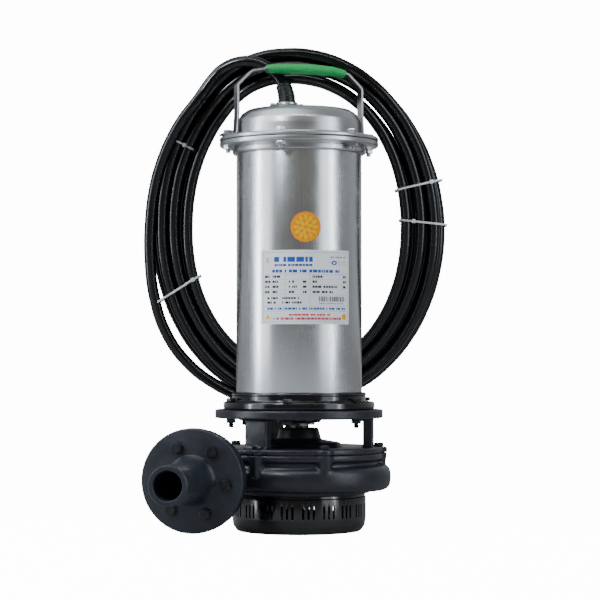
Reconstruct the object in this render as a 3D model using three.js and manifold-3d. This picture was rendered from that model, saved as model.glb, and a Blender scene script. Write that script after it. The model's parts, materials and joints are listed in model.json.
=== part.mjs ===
// Submersible dirty-water pump: slotted strainer foot, spiral cast-iron casing with a flanged
// discharge nipple, open lantern bracket, stainless motor body, domed cap with strap handle,
// cable gland and a coiled power cable. Millimetres, +Z up, origin at the foot's centre on the
// shaft axis. -Y is the front of the pump. Bearings around the shaft ("az") are in degrees from
// the front (-Y) towards +X.
import * as THREE from 'three';
import { mergeVertices } from 'three/addons/utils/BufferGeometryUtils.js';
import Module from 'manifold-3d';

const wasm = await Module();
wasm.setup();

// ---------------------------------------------------------------- driving dimensions

const GAP = 0.3;
const ROUND = 28;

const FOOT = {
  radius: 103, height: 57.7, wall: 4, floor: 5, corner: 15,
  slotGroups: 20, slotFirstAz: 8, slotPitch: 4.5, slotWidth: 3.5, slotLow: 23.5, slotHigh: 43.5,
  postR: 8, postRing: 80, postAz: [30, 150, 270],
};

const CASING = {
  low: 58, neckTop: 64, rimLow: 111, top: 120,
  neckR: 108, drumR: 122, rimR: 129,
  floor: 70, chamberR: 112, spigotZ: 112, spigotR: 116, eyeR: 42,
  coreR: 95, wall: 8, tongueAz: -32, throatAz: 256.5, spiralStart: 127, spiralGain: 35,
};

const OUTLET = {
  turn: 13.5, offset: 116.4, height: 85,
  neckBack: -20, flangeBack: 157.4, flangeFront: 172.8, flangeR: 76,
  loose: 175.4, face: 190.4, looseR: 77.5, nose: 310.4,
  pipeR: 29.6, boreR: 21.3, hubR: 34, hubEnd: 201,
  boltRing: 53, boltFirst: -6,
};

const COVER_BOLTS = { ring: 123, az: [18, 90, 162, 234, 329], bossR: 13 };

const BRACKET = {
  low: 120.3, plateTop: 129, spigotLow: 112.4, spigotR: 115.7, plateR: 129,
  hubTop: 158, hubR: 30, hubFootR: 34.5, shaftHole: 16.5,
  legAz: [-35, 85, 205], legIn: 99.5, legOut: 114.5, legWidth: 40,
  ringLow: 173.2, ringTop: 186.2, ringR: 129.3, ringHole: 79,
};

const MOTOR = {
  flangeLow: 186.5, flangeTop: 198.4, flangeR: 116.5, collarR: 102.6, collarTop: 212.3,
  boltRing: 111, boltFirst: -69,
  tubeR: 96.85, tubeWall: 3, tubeLow: 212.6, tubeTop: 579.4,
  topCollarR: 102.7, topFlangeLow: 591, topFlangeTop: 598.2, topFlangeR: 122.8,
};

const CAP = {
  flangeLow: 599.4, flangeTop: 605.6, wallR: 96.9, sheet: 3, corner: 26, crown: 649, flat: 650,
  boltRing: 113, boltFirst: -14,
};

const HANDLE = {
  az: 106, width: 25, thick: 3,
  half: [[124, 607.4], [101.5, 607.4], [99.5, 640], [99.5, 684], [77, 706.5], [53, 711.2]],
  gripFrom: -53, gripTo: 74, gripTall: 16, gripDeep: 29, crest: 713,
};

const GLAND = {
  x: -19, y: 10, plateR: 29, plateTop: 656.8, collarR: 17, collarTop: 662, bootR: 13.8,
};

// The cable leaves the gland upright and bends over to the left on one arc, down onto the front
// of the coil, which stands on the bracket's ring and leans on the handle's right leg.
const CABLE = {
  radius: 9, bend: 66, heading: [-0.98, 0.2], bootTurn: 27, leadTurn: 138,
  coilX: -5.7, coilZ: 468.6, halfWide: 203, halfTall: 254,
  bundleSide: 36, bundleTop: 28, bundleDeep: 18.5,
  leanZ: 690, leanY: 58, leanSlope: -0.16,
};

const LABEL = { az: [-35.3, 50.3], low: 316, high: 427.5, thick: 0.4 };
const STICKER = { az: 6, height: 462, radius: 23 };

const ROTOR = { coreLow: 300, coreHigh: 470, coreR: 51, seatR: 23 };
const STATOR = { innerR: 52, outerR: 93.5, slots: 10, slotIn: 60, slotOut: 76, slotWidth: 9 };

// ---------------------------------------------------------------- solid helpers

const rad = THREE.MathUtils.degToRad;

function toManifold(geometry) {
  const bare = geometry.clone();
  bare.deleteAttribute('normal');
  bare.deleteAttribute('uv');
  const merged = mergeVertices(bare, 1e-3);
  const source = merged.index.array;
  const kept = [];
  for (let i = 0; i < source.length; i += 3) {
    const [a, b, c] = [source[i], source[i + 1], source[i + 2]];
    if (a !== b && b !== c && c !== a) {
      kept.push(a, b, c);
    }
  }
  const mesh = new wasm.Mesh({
    numProp: 3,
    vertProperties: new Float32Array(merged.attributes.position.array),
    triVerts: new Uint32Array(kept),
  });
  return new wasm.Manifold(mesh);
}

function toGeometry(manifold) {
  const mesh = manifold.getMesh();
  const geometry = new THREE.BufferGeometry();
  geometry.setAttribute('position', new THREE.BufferAttribute(mesh.vertProperties, 3));
  geometry.setIndex(new THREE.BufferAttribute(mesh.triVerts, 1));
  geometry.computeVertexNormals();
  return geometry;
}

function join(...pieces) {
  return pieces.flat().reduce((whole, piece) => whole.add(piece));
}

function cut(body, ...tools) {
  return tools.flat().reduce((left, tool) => left.subtract(tool), body);
}

// A profile of [radius, height] pairs, run counter-clockwise, turned about +Z.
function turned(profile, { closed = false, segments = ROUND } = {}) {
  const points = profile.map(([r, z]) => new THREE.Vector2(r, z));
  if (closed) {
    points.push(points[0].clone());
  }
  const geometry = new THREE.LatheGeometry(points, segments);
  geometry.rotateX(Math.PI / 2);
  return toManifold(geometry);
}

function cylinder(radius, low, high, { x = 0, y = 0, sides = 12, lowRadius = radius } = {}) {
  const geometry = new THREE.CylinderGeometry(radius, lowRadius, high - low, sides);
  geometry.rotateX(Math.PI / 2);
  geometry.translate(x, y, (low + high) / 2);
  return toManifold(geometry);
}

function box(from, to) {
  const size = to.map((value, i) => value - from[i]);
  const geometry = new THREE.BoxGeometry(...size);
  geometry.translate(...to.map((value, i) => (value + from[i]) / 2));
  return toManifold(geometry);
}

// Turns a solid that was made at the front (-Y) to a bearing around the shaft.
function atBearing(manifold, az) {
  return manifold.rotate([0, 0, az]);
}

function ringOf(count, first, make) {
  return Array.from({ length: count }, (_, i) => make(first + (360 / count) * i));
}

function arcPoints(cx, cy, radius, fromDeg, toDeg, steps) {
  return Array.from({ length: steps + 1 }, (_, i) => {
    const angle = rad(fromDeg + ((toDeg - fromDeg) * i) / steps);
    return [cx + radius * Math.cos(angle), cy + radius * Math.sin(angle)];
  });
}

// Hexagon bolt along +Z: head above `seat`, shank down to `end`, and a nut whose top is `nutTop`.
function hexBolt({ shank, across, head, seat, end, nutTop = null, nut = 6.5 }) {
  const corner = across / Math.sqrt(3);
  const pieces = [
    cylinder(corner, seat + GAP, seat + GAP + head, { sides: 6 }),
    cylinder(shank, end, seat + GAP + head / 2, { sides: 6 }),
  ];
  if (nutTop !== null) {
    pieces.push(cylinder(corner, nutTop - nut, nutTop, { sides: 6 }));
  }
  return join(pieces);
}

function finish(color, roughness, metalness) {
  return new THREE.MeshStandardMaterial({ color, roughness, metalness });
}

const blackCasting = () => finish(0x1b1e22, 0.42, 0.35);
const blackGloss = () => finish(0x15171b, 0.25, 0.35);
const satinSteel = () => finish(0xb9bcbd, 0.3, 0.95);
const brushedTube = () => finish(0xc4c8ca, 0.26, 0.95);
const brightBolt = () => finish(0xa9adb0, 0.3, 0.95);
const blackBolt = () => finish(0x24272b, 0.45, 0.6);
const blackRubber = () => finish(0x101113, 0.5, 0.0);
const greenRubber = () => finish(0x1f9a4c, 0.55, 0.0);
const machined = () => finish(0x8f9498, 0.4, 0.9);
const copper = () => finish(0xa3552c, 0.45, 0.6);
const bronze = () => finish(0x9a7a3f, 0.4, 0.8);
const labelStock = () => finish(0xe9ecee, 0.45, 0.0);
const orangeFilm = () => finish(0xd8501e, 0.4, 0.0);

const pump = new THREE.Group();

function addPart(name, manifold, material) {
  const mesh = new THREE.Mesh(toGeometry(manifold), material);
  mesh.name = name;
  pump.add(mesh);
}

// ---------------------------------------------------------------- strainer foot

function strainerBowl() {
  const { radius, height, wall, floor, corner } = FOOT;
  const shell = turned([
    [0, 0],
    [radius - corner, 0],
    ...arcPoints(radius - corner, corner, corner, -60, 0, 2),
    [radius, height],
    [radius - wall, height],
    [radius - wall, corner],
    [radius - corner, floor],
    [0, floor],
  ]);
  const post = cylinder(FOOT.postR, floor - 1, height, { y: -FOOT.postRing, sides: 8 });
  const posts = FOOT.postAz.map((az) => atBearing(post, az));
  const slot = box(
    [-FOOT.slotWidth / 2, -radius - 2, FOOT.slotLow],
    [FOOT.slotWidth / 2, -radius + wall + 3, FOOT.slotHigh],
  );
  const slots = ringOf(FOOT.slotGroups, FOOT.slotFirstAz, (az) => [-1, 0, 1].map(
    (step) => atBearing(slot, az + step * FOOT.slotPitch),
  ));
  const bore = join(
    cylinder(3.4, -1, height + 1, { y: -FOOT.postRing, sides: 8 }),
    cylinder(6.6, -1, 7, { y: -FOOT.postRing, sides: 8 }),
  );
  const bores = FOOT.postAz.map((az) => atBearing(bore, az));
  return cut(join(shell, posts), slots.flat(), bores);
}

// Cap screw from below, its head sunk in the foot.
function strainerScrew() {
  return join(
    cylinder(5.6, 1.5, 6.7, { y: -FOOT.postRing, sides: 8 }),
    cylinder(3, 6, 68, { y: -FOOT.postRing, sides: 8 }),
  );
}

// ---------------------------------------------------------------- spiral casing

// 0 just past the tongue, 1 at the throat, falling back to 0 between throat and tongue.
function spiralGrowth(az) {
  const { tongueAz, throatAz } = CASING;
  const turn = THREE.MathUtils.euclideanModulo(az - tongueAz, 360);
  const run = throatAz - tongueAz;
  if (turn <= run) {
    return turn / run;
  }
  return 1 - (turn - run) / (360 - run);
}

// Ring of super-elliptic section whose width and height follow the spiral's growth.
function spiralRing(inset) {
  const { coreR, spiralStart, spiralGain } = CASING;
  const ring = new THREE.LatheGeometry(
    arcPoints(2, 0, 1, 0, 360, 10).map(([x, y]) => new THREE.Vector2(x, y)),
    ROUND + 4,
  );
  ring.rotateX(Math.PI / 2);
  const spots = ring.attributes.position;
  const bulge = (value) => Math.sign(value) * Math.abs(value) ** (2 / 3);
  for (let i = 0; i < spots.count; i += 1) {
    const [x, y, z] = [spots.getX(i), spots.getY(i), spots.getZ(i)];
    const unit = Math.hypot(x, y);
    const az = THREE.MathUtils.radToDeg(Math.atan2(x, -y));
    const growth = spiralGrowth(az);
    const outer = spiralStart + spiralGain * growth;
    const low = 66 - 8 * growth ** 0.7;
    const high = 101 + 11 * growth ** 2;
    const halfWide = (outer - coreR) / 2 - inset;
    const halfTall = (high - low) / 2 - inset;
    const radius = (outer + coreR) / 2 + bulge(unit - 2) * halfWide;
    const height = (high + low) / 2 + bulge(z) * halfTall;
    spots.setXYZ(i, (x / unit) * radius, (y / unit) * radius, height);
  }
  return toManifold(ring);
}

// Places a solid made along +Z (with +Y up) on the outlet's axis, which leaves the casing level.
function onOutlet(manifold) {
  const { turn, offset, height } = OUTLET;
  const side = new THREE.Vector3(Math.cos(rad(turn)), -Math.sin(rad(turn)), 0);
  const out = new THREE.Vector3(-Math.sin(rad(turn)), -Math.cos(rad(turn)), 0);
  const place = new THREE.Matrix4().makeBasis(side, new THREE.Vector3(0, 0, 1), out);
  place.setPosition(side.x * -offset, side.y * -offset, height);
  return manifold.transform(place.toArray());
}

// Tapering duct from a flattened oval at the throat to a circle at the flange.
function outletDuct(backWide, backTall, frontR, back, front) {
  const geometry = new THREE.CylinderGeometry(1, 1, front - back, 16, 3);
  geometry.rotateX(Math.PI / 2);
  geometry.translate(0, 0, (back + front) / 2);
  const spots = geometry.attributes.position;
  for (let i = 0; i < spots.count; i += 1) {
    const along = (spots.getZ(i) - back) / (front - back);
    const blend = THREE.MathUtils.smoothstep(along, 0.05, 0.8);
    const wide = THREE.MathUtils.lerp(backWide, frontR, blend);
    const tall = THREE.MathUtils.lerp(backTall, frontR, blend);
    spots.setXYZ(i, spots.getX(i) * wide, spots.getY(i) * tall, spots.getZ(i));
  }
  return toManifold(geometry);
}

function outletHoles(radius, low, high) {
  return ringOf(6, OUTLET.boltFirst, (angle) => cylinder(radius, low, high, {
    x: OUTLET.boltRing * Math.cos(rad(angle)),
    y: OUTLET.boltRing * Math.sin(rad(angle)),
    sides: 8,
  }));
}

function voluteCasing() {
  const c = CASING;
  const drum = turned([
    [0, c.low], [c.neckR, c.low], [c.neckR, c.neckTop], [c.drumR, c.neckTop + 6],
    [c.drumR, c.rimLow - 3], [c.rimR, c.rimLow], [c.rimR, c.top], [0, c.top],
  ]);
  const boss = cylinder(COVER_BOLTS.bossR, 86, c.top, {
    y: -COVER_BOLTS.ring, lowRadius: 8, sides: 10,
  });
  const bosses = COVER_BOLTS.az.map((az) => atBearing(boss, az));
  const neck = onOutlet(outletDuct(45, 27, 33, OUTLET.neckBack, OUTLET.flangeBack + 2));
  const flange = onOutlet(cylinder(OUTLET.flangeR, OUTLET.flangeBack, OUTLET.flangeFront, {
    sides: ROUND,
  }));
  const body = join(drum, spiralRing(0), bosses, neck, flange);
  const chamber = turned([
    [0, c.floor], [c.chamberR, c.floor], [c.chamberR, c.spigotZ], [c.spigotR, c.spigotZ],
    [c.spigotR, c.top + 1], [0, c.top + 1],
  ]);
  const eye = cylinder(c.eyeR, c.low - 1, c.floor + 1, { sides: 20 });
  const duct = onOutlet(outletDuct(37, 19, 25, OUTLET.neckBack, OUTLET.flangeFront + 1));
  const coverHole = cylinder(4.5, 96, c.top + 1, { y: -COVER_BOLTS.ring, sides: 8 });
  const coverHoles = COVER_BOLTS.az.map((az) => atBearing(coverHole, az));
  const footHole = cylinder(3.4, c.low - 1, 68.6, { y: -FOOT.postRing, sides: 8 });
  const footHoles = FOOT.postAz.map((az) => atBearing(footHole, az));
  const flangeHoles = outletHoles(5.6, OUTLET.flangeBack - 1, OUTLET.flangeFront + 1);
  return cut(
    body, chamber, eye, spiralRing(c.wall), duct, coverHoles, footHoles,
    flangeHoles.map(onOutlet),
  );
}

function outletGasket() {
  const sheet = turned([[26, 173.1], [75, 173.1], [75, 175.1], [26, 175.1]], {
    closed: true, segments: 24,
  });
  return onOutlet(cut(sheet, outletHoles(5.6, 172, 176)));
}

function outletNozzle() {
  const o = OUTLET;
  const body = turned([
    [o.boreR, o.loose], [o.looseR, o.loose], [o.looseR, o.face - 1.2],
    [o.looseR - 1.2, o.face], [o.hubR, o.face], [o.pipeR, o.hubEnd],
    [o.pipeR, o.nose - 2], [o.pipeR - 2, o.nose], [o.boreR, o.nose],
  ], { closed: true, segments: 28 });
  return onOutlet(cut(body, outletHoles(5.6, o.loose - 1, o.face + 1)));
}

function outletBolt(angle) {
  const bolt = hexBolt({
    shank: 5, across: 16, head: 7, seat: OUTLET.face, end: 146.5,
    nutTop: OUTLET.flangeBack - GAP, nut: 8,
  });
  return onOutlet(bolt.translate([
    OUTLET.boltRing * Math.cos(rad(angle)), OUTLET.boltRing * Math.sin(rad(angle)), 0,
  ]));
}

// ---------------------------------------------------------------- lantern bracket

function lanternBracket() {
  const b = BRACKET;
  const cover = turned([
    [b.shaftHole, b.spigotLow], [b.spigotR, b.spigotLow], [b.spigotR, b.low],
    [b.plateR, b.low], [b.plateR, b.plateTop], [68, b.plateTop], [63, 135.6],
    [b.hubFootR, 140], [b.hubR, b.hubTop],
    [b.shaftHole, b.hubTop],
  ], { closed: true });
  const lug = cylinder(COVER_BOLTS.bossR, b.low, b.plateTop, { y: -COVER_BOLTS.ring, sides: 10 });
  const lugs = COVER_BOLTS.az.map((az) => atBearing(lug, az));
  const leg = box(
    [-b.legWidth / 2, -b.legOut, b.plateTop - 1],
    [b.legWidth / 2, -b.legIn, b.ringLow + 1],
  );
  const legs = b.legAz.map((az) => atBearing(leg, az));
  const ring = turned([
    [b.ringHole, b.ringLow], [b.ringR, b.ringLow], [b.ringR, b.ringTop],
    [b.ringHole, b.ringTop],
  ], { closed: true });
  const coverHole = cylinder(4.5, b.low - 1, 131, { y: -COVER_BOLTS.ring, sides: 8 });
  const coverHoles = COVER_BOLTS.az.map((az) => atBearing(coverHole, az));
  const motorHole = cylinder(4.5, b.ringLow - 1, b.ringTop + 1, { y: -MOTOR.boltRing, sides: 8 });
  const motorHoles = ringOf(6, MOTOR.boltFirst, (az) => atBearing(motorHole, az));
  return cut(join(cover, lugs, legs, ring), coverHoles, motorHoles);
}

function coverBolt(az) {
  const bolt = hexBolt({ shank: 4, across: 13, head: 5.3, seat: BRACKET.plateTop, end: 97 });
  return atBearing(bolt.translate([0, -COVER_BOLTS.ring, 0]), az);
}

// ---------------------------------------------------------------- motor lower end

// Flange, oil chamber and lower bearing seat in one casting.
function lowerHousing() {
  const m = MOTOR;
  const body = turned([
    [20, 176], [78.6, 176], [78.6, m.flangeLow], [m.flangeR, m.flangeLow],
    [m.flangeR, m.flangeTop], [m.collarR, m.flangeTop], [m.collarR, m.collarTop],
    [93.4, m.collarTop], [93.4, 222], [60, 222], [58, 240], [45.4, 240], [45.4, 214],
    [26, 214], [26, 208], [66, 208], [66, 184], [20, 184],
  ], { closed: true });
  const hole = cylinder(4.5, m.flangeLow - 1, m.flangeTop + 1, { y: -m.boltRing, sides: 8 });
  const sealHole = cylinder(3.4, 175, 185, { y: -27, sides: 6 });
  return cut(
    body,
    ringOf(6, m.boltFirst, (az) => atBearing(hole, az)),
    SEAL_BOLT_AZ.map((az) => atBearing(sealHole, az)),
  );
}

const SEAL_BOLT_AZ = [-45, 15, 135, 195];

function sealCover() {
  const body = turned([
    [15.8, 166], [34, 166], [34, 175.7], [15.8, 175.7],
  ], { closed: true, segments: 24 });
  const hole = cylinder(3.4, 165, 177, { y: -27, sides: 6 });
  return cut(body, SEAL_BOLT_AZ.map((az) => atBearing(hole, az)));
}

// Head below the cover, shank up into the housing's floor.
function sealBolt(az) {
  const body = join(
    cylinder(5.6, 161.5, 165.7, { y: -27, sides: 6 }),
    cylinder(2.9, 163, 183, { y: -27, sides: 6 }),
  );
  return atBearing(body, az);
}

function motorBolt(az) {
  const bolt = hexBolt({
    shank: 4, across: 13, head: 5.3, seat: MOTOR.flangeTop, end: 159.5,
    nutTop: BRACKET.ringLow - GAP,
  });
  return atBearing(bolt.translate([0, -MOTOR.boltRing, 0]), az);
}

// ---------------------------------------------------------------- motor body and cap

function motorTube() {
  const inner = MOTOR.tubeR - MOTOR.tubeWall;
  return turned([
    [inner, MOTOR.tubeLow], [MOTOR.tubeR, MOTOR.tubeLow],
    [MOTOR.tubeR, MOTOR.tubeTop], [inner, MOTOR.tubeTop],
  ], { closed: true, segments: 36 });
}

// Top flange and collar with the web that carries the upper bearing.
function upperBracket() {
  const m = MOTOR;
  const body = turned([
    [16, 566.3], [31.4, 566.3], [31.4, 545], [40, 545], [44, 566], [93.4, 566],
    [93.4, 579.7], [m.topCollarR, 579.7], [m.topCollarR, m.topFlangeLow],
    [m.topFlangeR - 1.5, m.topFlangeLow], [m.topFlangeR, m.topFlangeLow + 1.5],
    [m.topFlangeR, m.topFlangeTop], [90, m.topFlangeTop], [87, 574], [16, 574],
  ], { closed: true });
  const hole = cylinder(4.5, 590, 600, { y: -CAP.boltRing, sides: 8 });
  const wireway = cylinder(9, 560, 576, { y: -62, sides: 10 });
  return cut(
    body,
    ringOf(6, CAP.boltFirst, (az) => atBearing(hole, az)),
    ringOf(3, 30, (az) => atBearing(wireway, az)),
  );
}

function capGasket() {
  const sheet = turned([[94, 598.5], [121.6, 598.5], [121.6, 599.1], [94, 599.1]], {
    closed: true,
  });
  const hole = cylinder(4.5, 598, 600, { y: -CAP.boltRing, sides: 8 });
  return cut(sheet, ringOf(6, CAP.boltFirst, (az) => atBearing(hole, az)));
}

function topCap() {
  const c = CAP;
  const centre = c.wallR - c.corner;
  const body = turned([
    [c.wallR - c.sheet, c.flangeLow],
    [MOTOR.topFlangeR, c.flangeLow],
    [MOTOR.topFlangeR, c.flangeTop - 1.5],
    [MOTOR.topFlangeR - 1.5, c.flangeTop],
    [c.wallR, c.flangeTop],
    ...arcPoints(centre, c.crown - c.corner, c.corner, 0, 90, 4),
    [58, c.flat],
    [0, c.flat],
    [0, c.flat - c.sheet],
    [58, c.flat - c.sheet],
    ...arcPoints(centre, c.crown - c.corner, c.corner - c.sheet, 90, 0, 3),
  ], { closed: true });
  const hole = cylinder(4.5, c.flangeLow - 1, c.flangeTop + 1, { y: -c.boltRing, sides: 8 });
  const cableHole = cylinder(10, c.flat - 5, c.flat + 1, { x: GLAND.x, y: GLAND.y });
  const screwHoles = GLAND_SCREWS.map(([x, y]) => cylinder(3.1, c.flat - 5, c.flat + 1, {
    x, y, sides: 6,
  }));
  return cut(
    body, ringOf(6, c.boltFirst, (az) => atBearing(hole, az)), cableHole, screwHoles,
  );
}

const GLAND_SCREWS = [[GLAND.x - 21.6, GLAND.y - 6.5], [GLAND.x + 21.6, GLAND.y + 6.5]];

// Bolts at the two handle feet sit on the strap, the other four on the cap's flange.
function capBolt(az) {
  const underFoot = Math.abs(Math.cos(rad(az - HANDLE.az))) > 0.99;
  const bolt = hexBolt({
    shank: 4, across: 13, head: 5.3,
    seat: underFoot ? CAP.flangeTop + GAP + HANDLE.thick : CAP.flangeTop,
    end: 579.5,
    nutTop: MOTOR.topFlangeLow - GAP,
  });
  return atBearing(bolt.translate([0, -CAP.boltRing, 0]), az);
}

// ---------------------------------------------------------------- handle

// Height of the strap's middle line over its flat top, by distance from the shaft axis.
function crestHeight(reach) {
  const drop = (HANDLE.crest - 711.2) * (reach / 53) ** 2;
  return HANDLE.crest - drop;
}

function strapLine() {
  const left = HANDLE.half.map(([reach, z]) => [-reach, z]);
  const middle = [-35, -18, 0, 18, 35].map((reach) => [reach, crestHeight(reach)]);
  const right = HANDLE.half.map(([reach, z]) => [reach, z]).reverse();
  return [...left, ...middle, ...right].map(([u, v]) => new THREE.Vector2(u, v));
}

// Band of even thickness either side of a bent line, mitred at each bend.
function band(line, thickness) {
  const sides = [[], []];
  line.forEach((point, i) => {
    const before = line[Math.max(i - 1, 0)];
    const after = line[Math.min(i + 1, line.length - 1)];
    const into = (i > 0 ? point.clone().sub(before) : after.clone().sub(point)).normalize();
    const away = (i < line.length - 1 ? after.clone().sub(point) : into.clone()).normalize();
    const normal = new THREE.Vector2(-into.y - away.y, into.x + away.x).normalize();
    const reach = thickness / 2 / normal.dot(new THREE.Vector2(-into.y, into.x));
    sides[0].push(point.clone().addScaledVector(normal, -reach));
    sides[1].push(point.clone().addScaledVector(normal, reach));
  });
  return new THREE.Shape([...sides[0], ...sides[1].reverse()]);
}

// Stands a side profile (u outwards along the handle's plane, v up) upright across the pump.
function acrossHandle(geometry) {
  geometry.translate(0, 0, -HANDLE.width / 2);
  geometry.rotateX(Math.PI / 2);
  geometry.rotateZ(rad(HANDLE.az - 90));
  return toManifold(geometry);
}

function handleStrap() {
  const strap = acrossHandle(new THREE.ExtrudeGeometry(band(strapLine(), HANDLE.thick), {
    depth: HANDLE.width, bevelEnabled: false,
  }));
  const hole = cylinder(4.5, 604, 612, { y: -CAP.boltRing, sides: 8 });
  return cut(strap, [HANDLE.az, HANDLE.az + 180].map((az) => atBearing(hole, az)));
}

function handleGrip() {
  const { gripFrom, gripTo, gripTall, gripDeep, thick, width } = HANDLE;
  const section = new THREE.Shape(arcPoints(0, 0, 1, 0, 337.5, 15).map(([x, y]) => {
    return new THREE.Vector2(x * gripTall / 2, y * gripDeep / 2);
  }));
  const halfThick = thick / 2 + GAP + 0.1;
  const halfWide = width / 2 + GAP;
  section.holes.push(new THREE.Path([
    new THREE.Vector2(-halfThick, -halfWide), new THREE.Vector2(-halfThick, halfWide),
    new THREE.Vector2(halfThick, halfWide), new THREE.Vector2(halfThick, -halfWide),
  ]));
  const tilt = rad(HANDLE.az - 90);
  const line = strapLine().filter((point) => point.x > gripFrom && point.x < gripTo - 20);
  const ends = [gripFrom, gripTo].map((u) => strapPoint(u));
  const route = [ends[0], ...line, ends[1]].map((point) => new THREE.Vector3(
    point.x * Math.cos(tilt), point.x * Math.sin(tilt), point.y,
  ));
  const grip = new THREE.ExtrudeGeometry(section, {
    steps: route.length - 1,
    bevelEnabled: false,
    extrudePath: new THREE.CatmullRomCurve3(route, false, 'centripetal'),
  });
  return toManifold(grip);
}

// Point of the strap's middle line at a distance along the handle's plane.
function strapPoint(u) {
  const line = strapLine();
  const next = line.findIndex((point) => point.x > u);
  const [from, to] = [line[next - 1], line[next]];
  return from.clone().lerp(to, (u - from.x) / (to.x - from.x));
}

// ---------------------------------------------------------------- gland and cable

function glandPlate() {
  const g = GLAND;
  const low = CAP.flat + GAP;
  const body = turned([
    [9.6, low], [g.plateR, low], [g.plateR - 2, g.plateTop], [g.collarR, g.plateTop],
    [g.collarR, g.collarTop], [9.6, g.collarTop],
  ], { closed: true, segments: 24 }).translate([g.x, g.y, 0]);
  return cut(body, GLAND_SCREWS.map(([x, y]) => cylinder(3.1, low - 1, 660, { x, y, sides: 6 })));
}

function glandScrew([x, y]) {
  return join(
    cylinder(4.4, GLAND.plateTop + GAP, GLAND.plateTop + 3.6, { x, y, sides: 8 }),
    cylinder(2.5, 645.5, GLAND.plateTop + 2, { x, y, sides: 6 }),
  );
}

// Arc that starts upright over the gland and bends over towards the coil.
class CableArc extends THREE.Curve {
  constructor(fromTurn, toTurn) {
    super();
    this.fromTurn = fromTurn;
    this.toTurn = toTurn;
  }

  getPoint(t, target = new THREE.Vector3()) {
    const angle = rad(THREE.MathUtils.lerp(this.fromTurn, this.toTurn, t));
    const out = CABLE.bend * (1 - Math.cos(angle));
    return target.set(
      GLAND.x + CABLE.heading[0] * out,
      GLAND.y + CABLE.heading[1] * out,
      GLAND.collarTop + GAP + CABLE.bend * Math.sin(angle),
    );
  }
}

function tubeAlong(curve, radius, sides, steps) {
  const section = new THREE.Shape(
    arcPoints(0, 0, radius, 0, 360 - 360 / sides, sides - 1).map(([x, y]) => (
      new THREE.Vector2(x, y)
    )),
  );
  const geometry = new THREE.ExtrudeGeometry(section, {
    steps, bevelEnabled: false, extrudePath: curve,
  });
  return toManifold(geometry);
}

function glandBoot() {
  return tubeAlong(new CableArc(0, CABLE.bootTurn), GLAND.bootR, 12, 4);
}

// The stretch between boot and coil; its far end lies on the coil's front.
function cableLead(coil) {
  const arc = new CableArc(CABLE.bootTurn + 0.25, CABLE.leadTurn);
  const tube = tubeAlong(arc, CABLE.radius, 10, 8);
  return cut(tube, coil, coil.translate([0, -GAP, 0]));
}

// Oval ring leaning behind the pump: the outer shape of all the coiled turns together.
function cableCoil() {
  const c = CABLE;
  const ring = new THREE.LatheGeometry(
    arcPoints(2, 0, 1, 0, 360, 10).map(([x, y]) => new THREE.Vector2(x, y)),
    ROUND,
  );
  const spots = ring.attributes.position;
  const square = (value) => Math.sign(value) * Math.abs(value) ** (2 / 3);
  for (let i = 0; i < spots.count; i += 1) {
    const [x, y, z] = [spots.getX(i), spots.getY(i), spots.getZ(i)];
    const unit = Math.hypot(x, z);
    const [across, up] = [x / unit, z / unit];
    const normal = new THREE.Vector2(across * c.halfTall, up * c.halfWide).normalize();
    const half = THREE.MathUtils.lerp(c.bundleSide, c.bundleTop, Math.abs(up) ** 1.5);
    const reach = square(unit - 2) * half;
    const height = c.coilZ + up * c.halfTall + normal.y * reach;
    spots.setXYZ(
      i,
      c.coilX + across * c.halfWide + normal.x * reach,
      c.leanY + c.leanSlope * (height - c.leanZ) + square(y) * c.bundleDeep,
      height,
    );
  }
  return toManifold(ring);
}

// ---------------------------------------------------------------- label and sticker

function curvedSheet(azFrom, azTo, low, high, thick) {
  const inner = MOTOR.tubeR + GAP;
  const turn = (az) => az - 90;
  const steps = Math.max(4, Math.round((azTo - azFrom) / 6));
  const outline = [
    ...arcPoints(0, 0, inner + thick, turn(azFrom), turn(azTo), steps),
    ...arcPoints(0, 0, inner, turn(azTo), turn(azFrom), steps),
  ];
  const shape = new THREE.Shape(outline.map(([x, y]) => new THREE.Vector2(x, y)));
  const geometry = new THREE.ExtrudeGeometry(shape, { depth: high - low, bevelEnabled: false });
  geometry.translate(0, 0, low);
  return toManifold(geometry);
}

function roundSticker() {
  const s = STICKER;
  const sheet = curvedSheet(s.az - 18, s.az + 18, s.height - 30, s.height + 30, LABEL.thick);
  const punch = new THREE.CylinderGeometry(s.radius, s.radius, 40, 28);
  punch.translate(0, -MOTOR.tubeR, s.height);
  return sheet.intersect(atBearing(toManifold(punch), s.az));
}

// ---------------------------------------------------------------- stator, rotor, hydraulics

function statorCore() {
  const s = STATOR;
  const shape = new THREE.Shape(arcPoints(0, 0, s.outerR, 0, 350, 35).map(([x, y]) => (
    new THREE.Vector2(x, y)
  )));
  shape.holes.push(new THREE.Path(arcPoints(0, 0, s.innerR, 0, 345, 23).map(([x, y]) => (
    new THREE.Vector2(x, y)
  ))));
  const geometry = new THREE.ExtrudeGeometry(shape, {
    depth: ROTOR.coreHigh - ROTOR.coreLow, bevelEnabled: false,
  });
  geometry.translate(0, 0, ROTOR.coreLow);
  const half = s.slotWidth / 2;
  const slot = box([-half, -s.slotOut, ROTOR.coreLow - 1], [half, -s.slotIn, ROTOR.coreHigh + 1]);
  return cut(toManifold(geometry), ringOf(s.slots, 0, (az) => atBearing(slot, az)));
}

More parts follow.
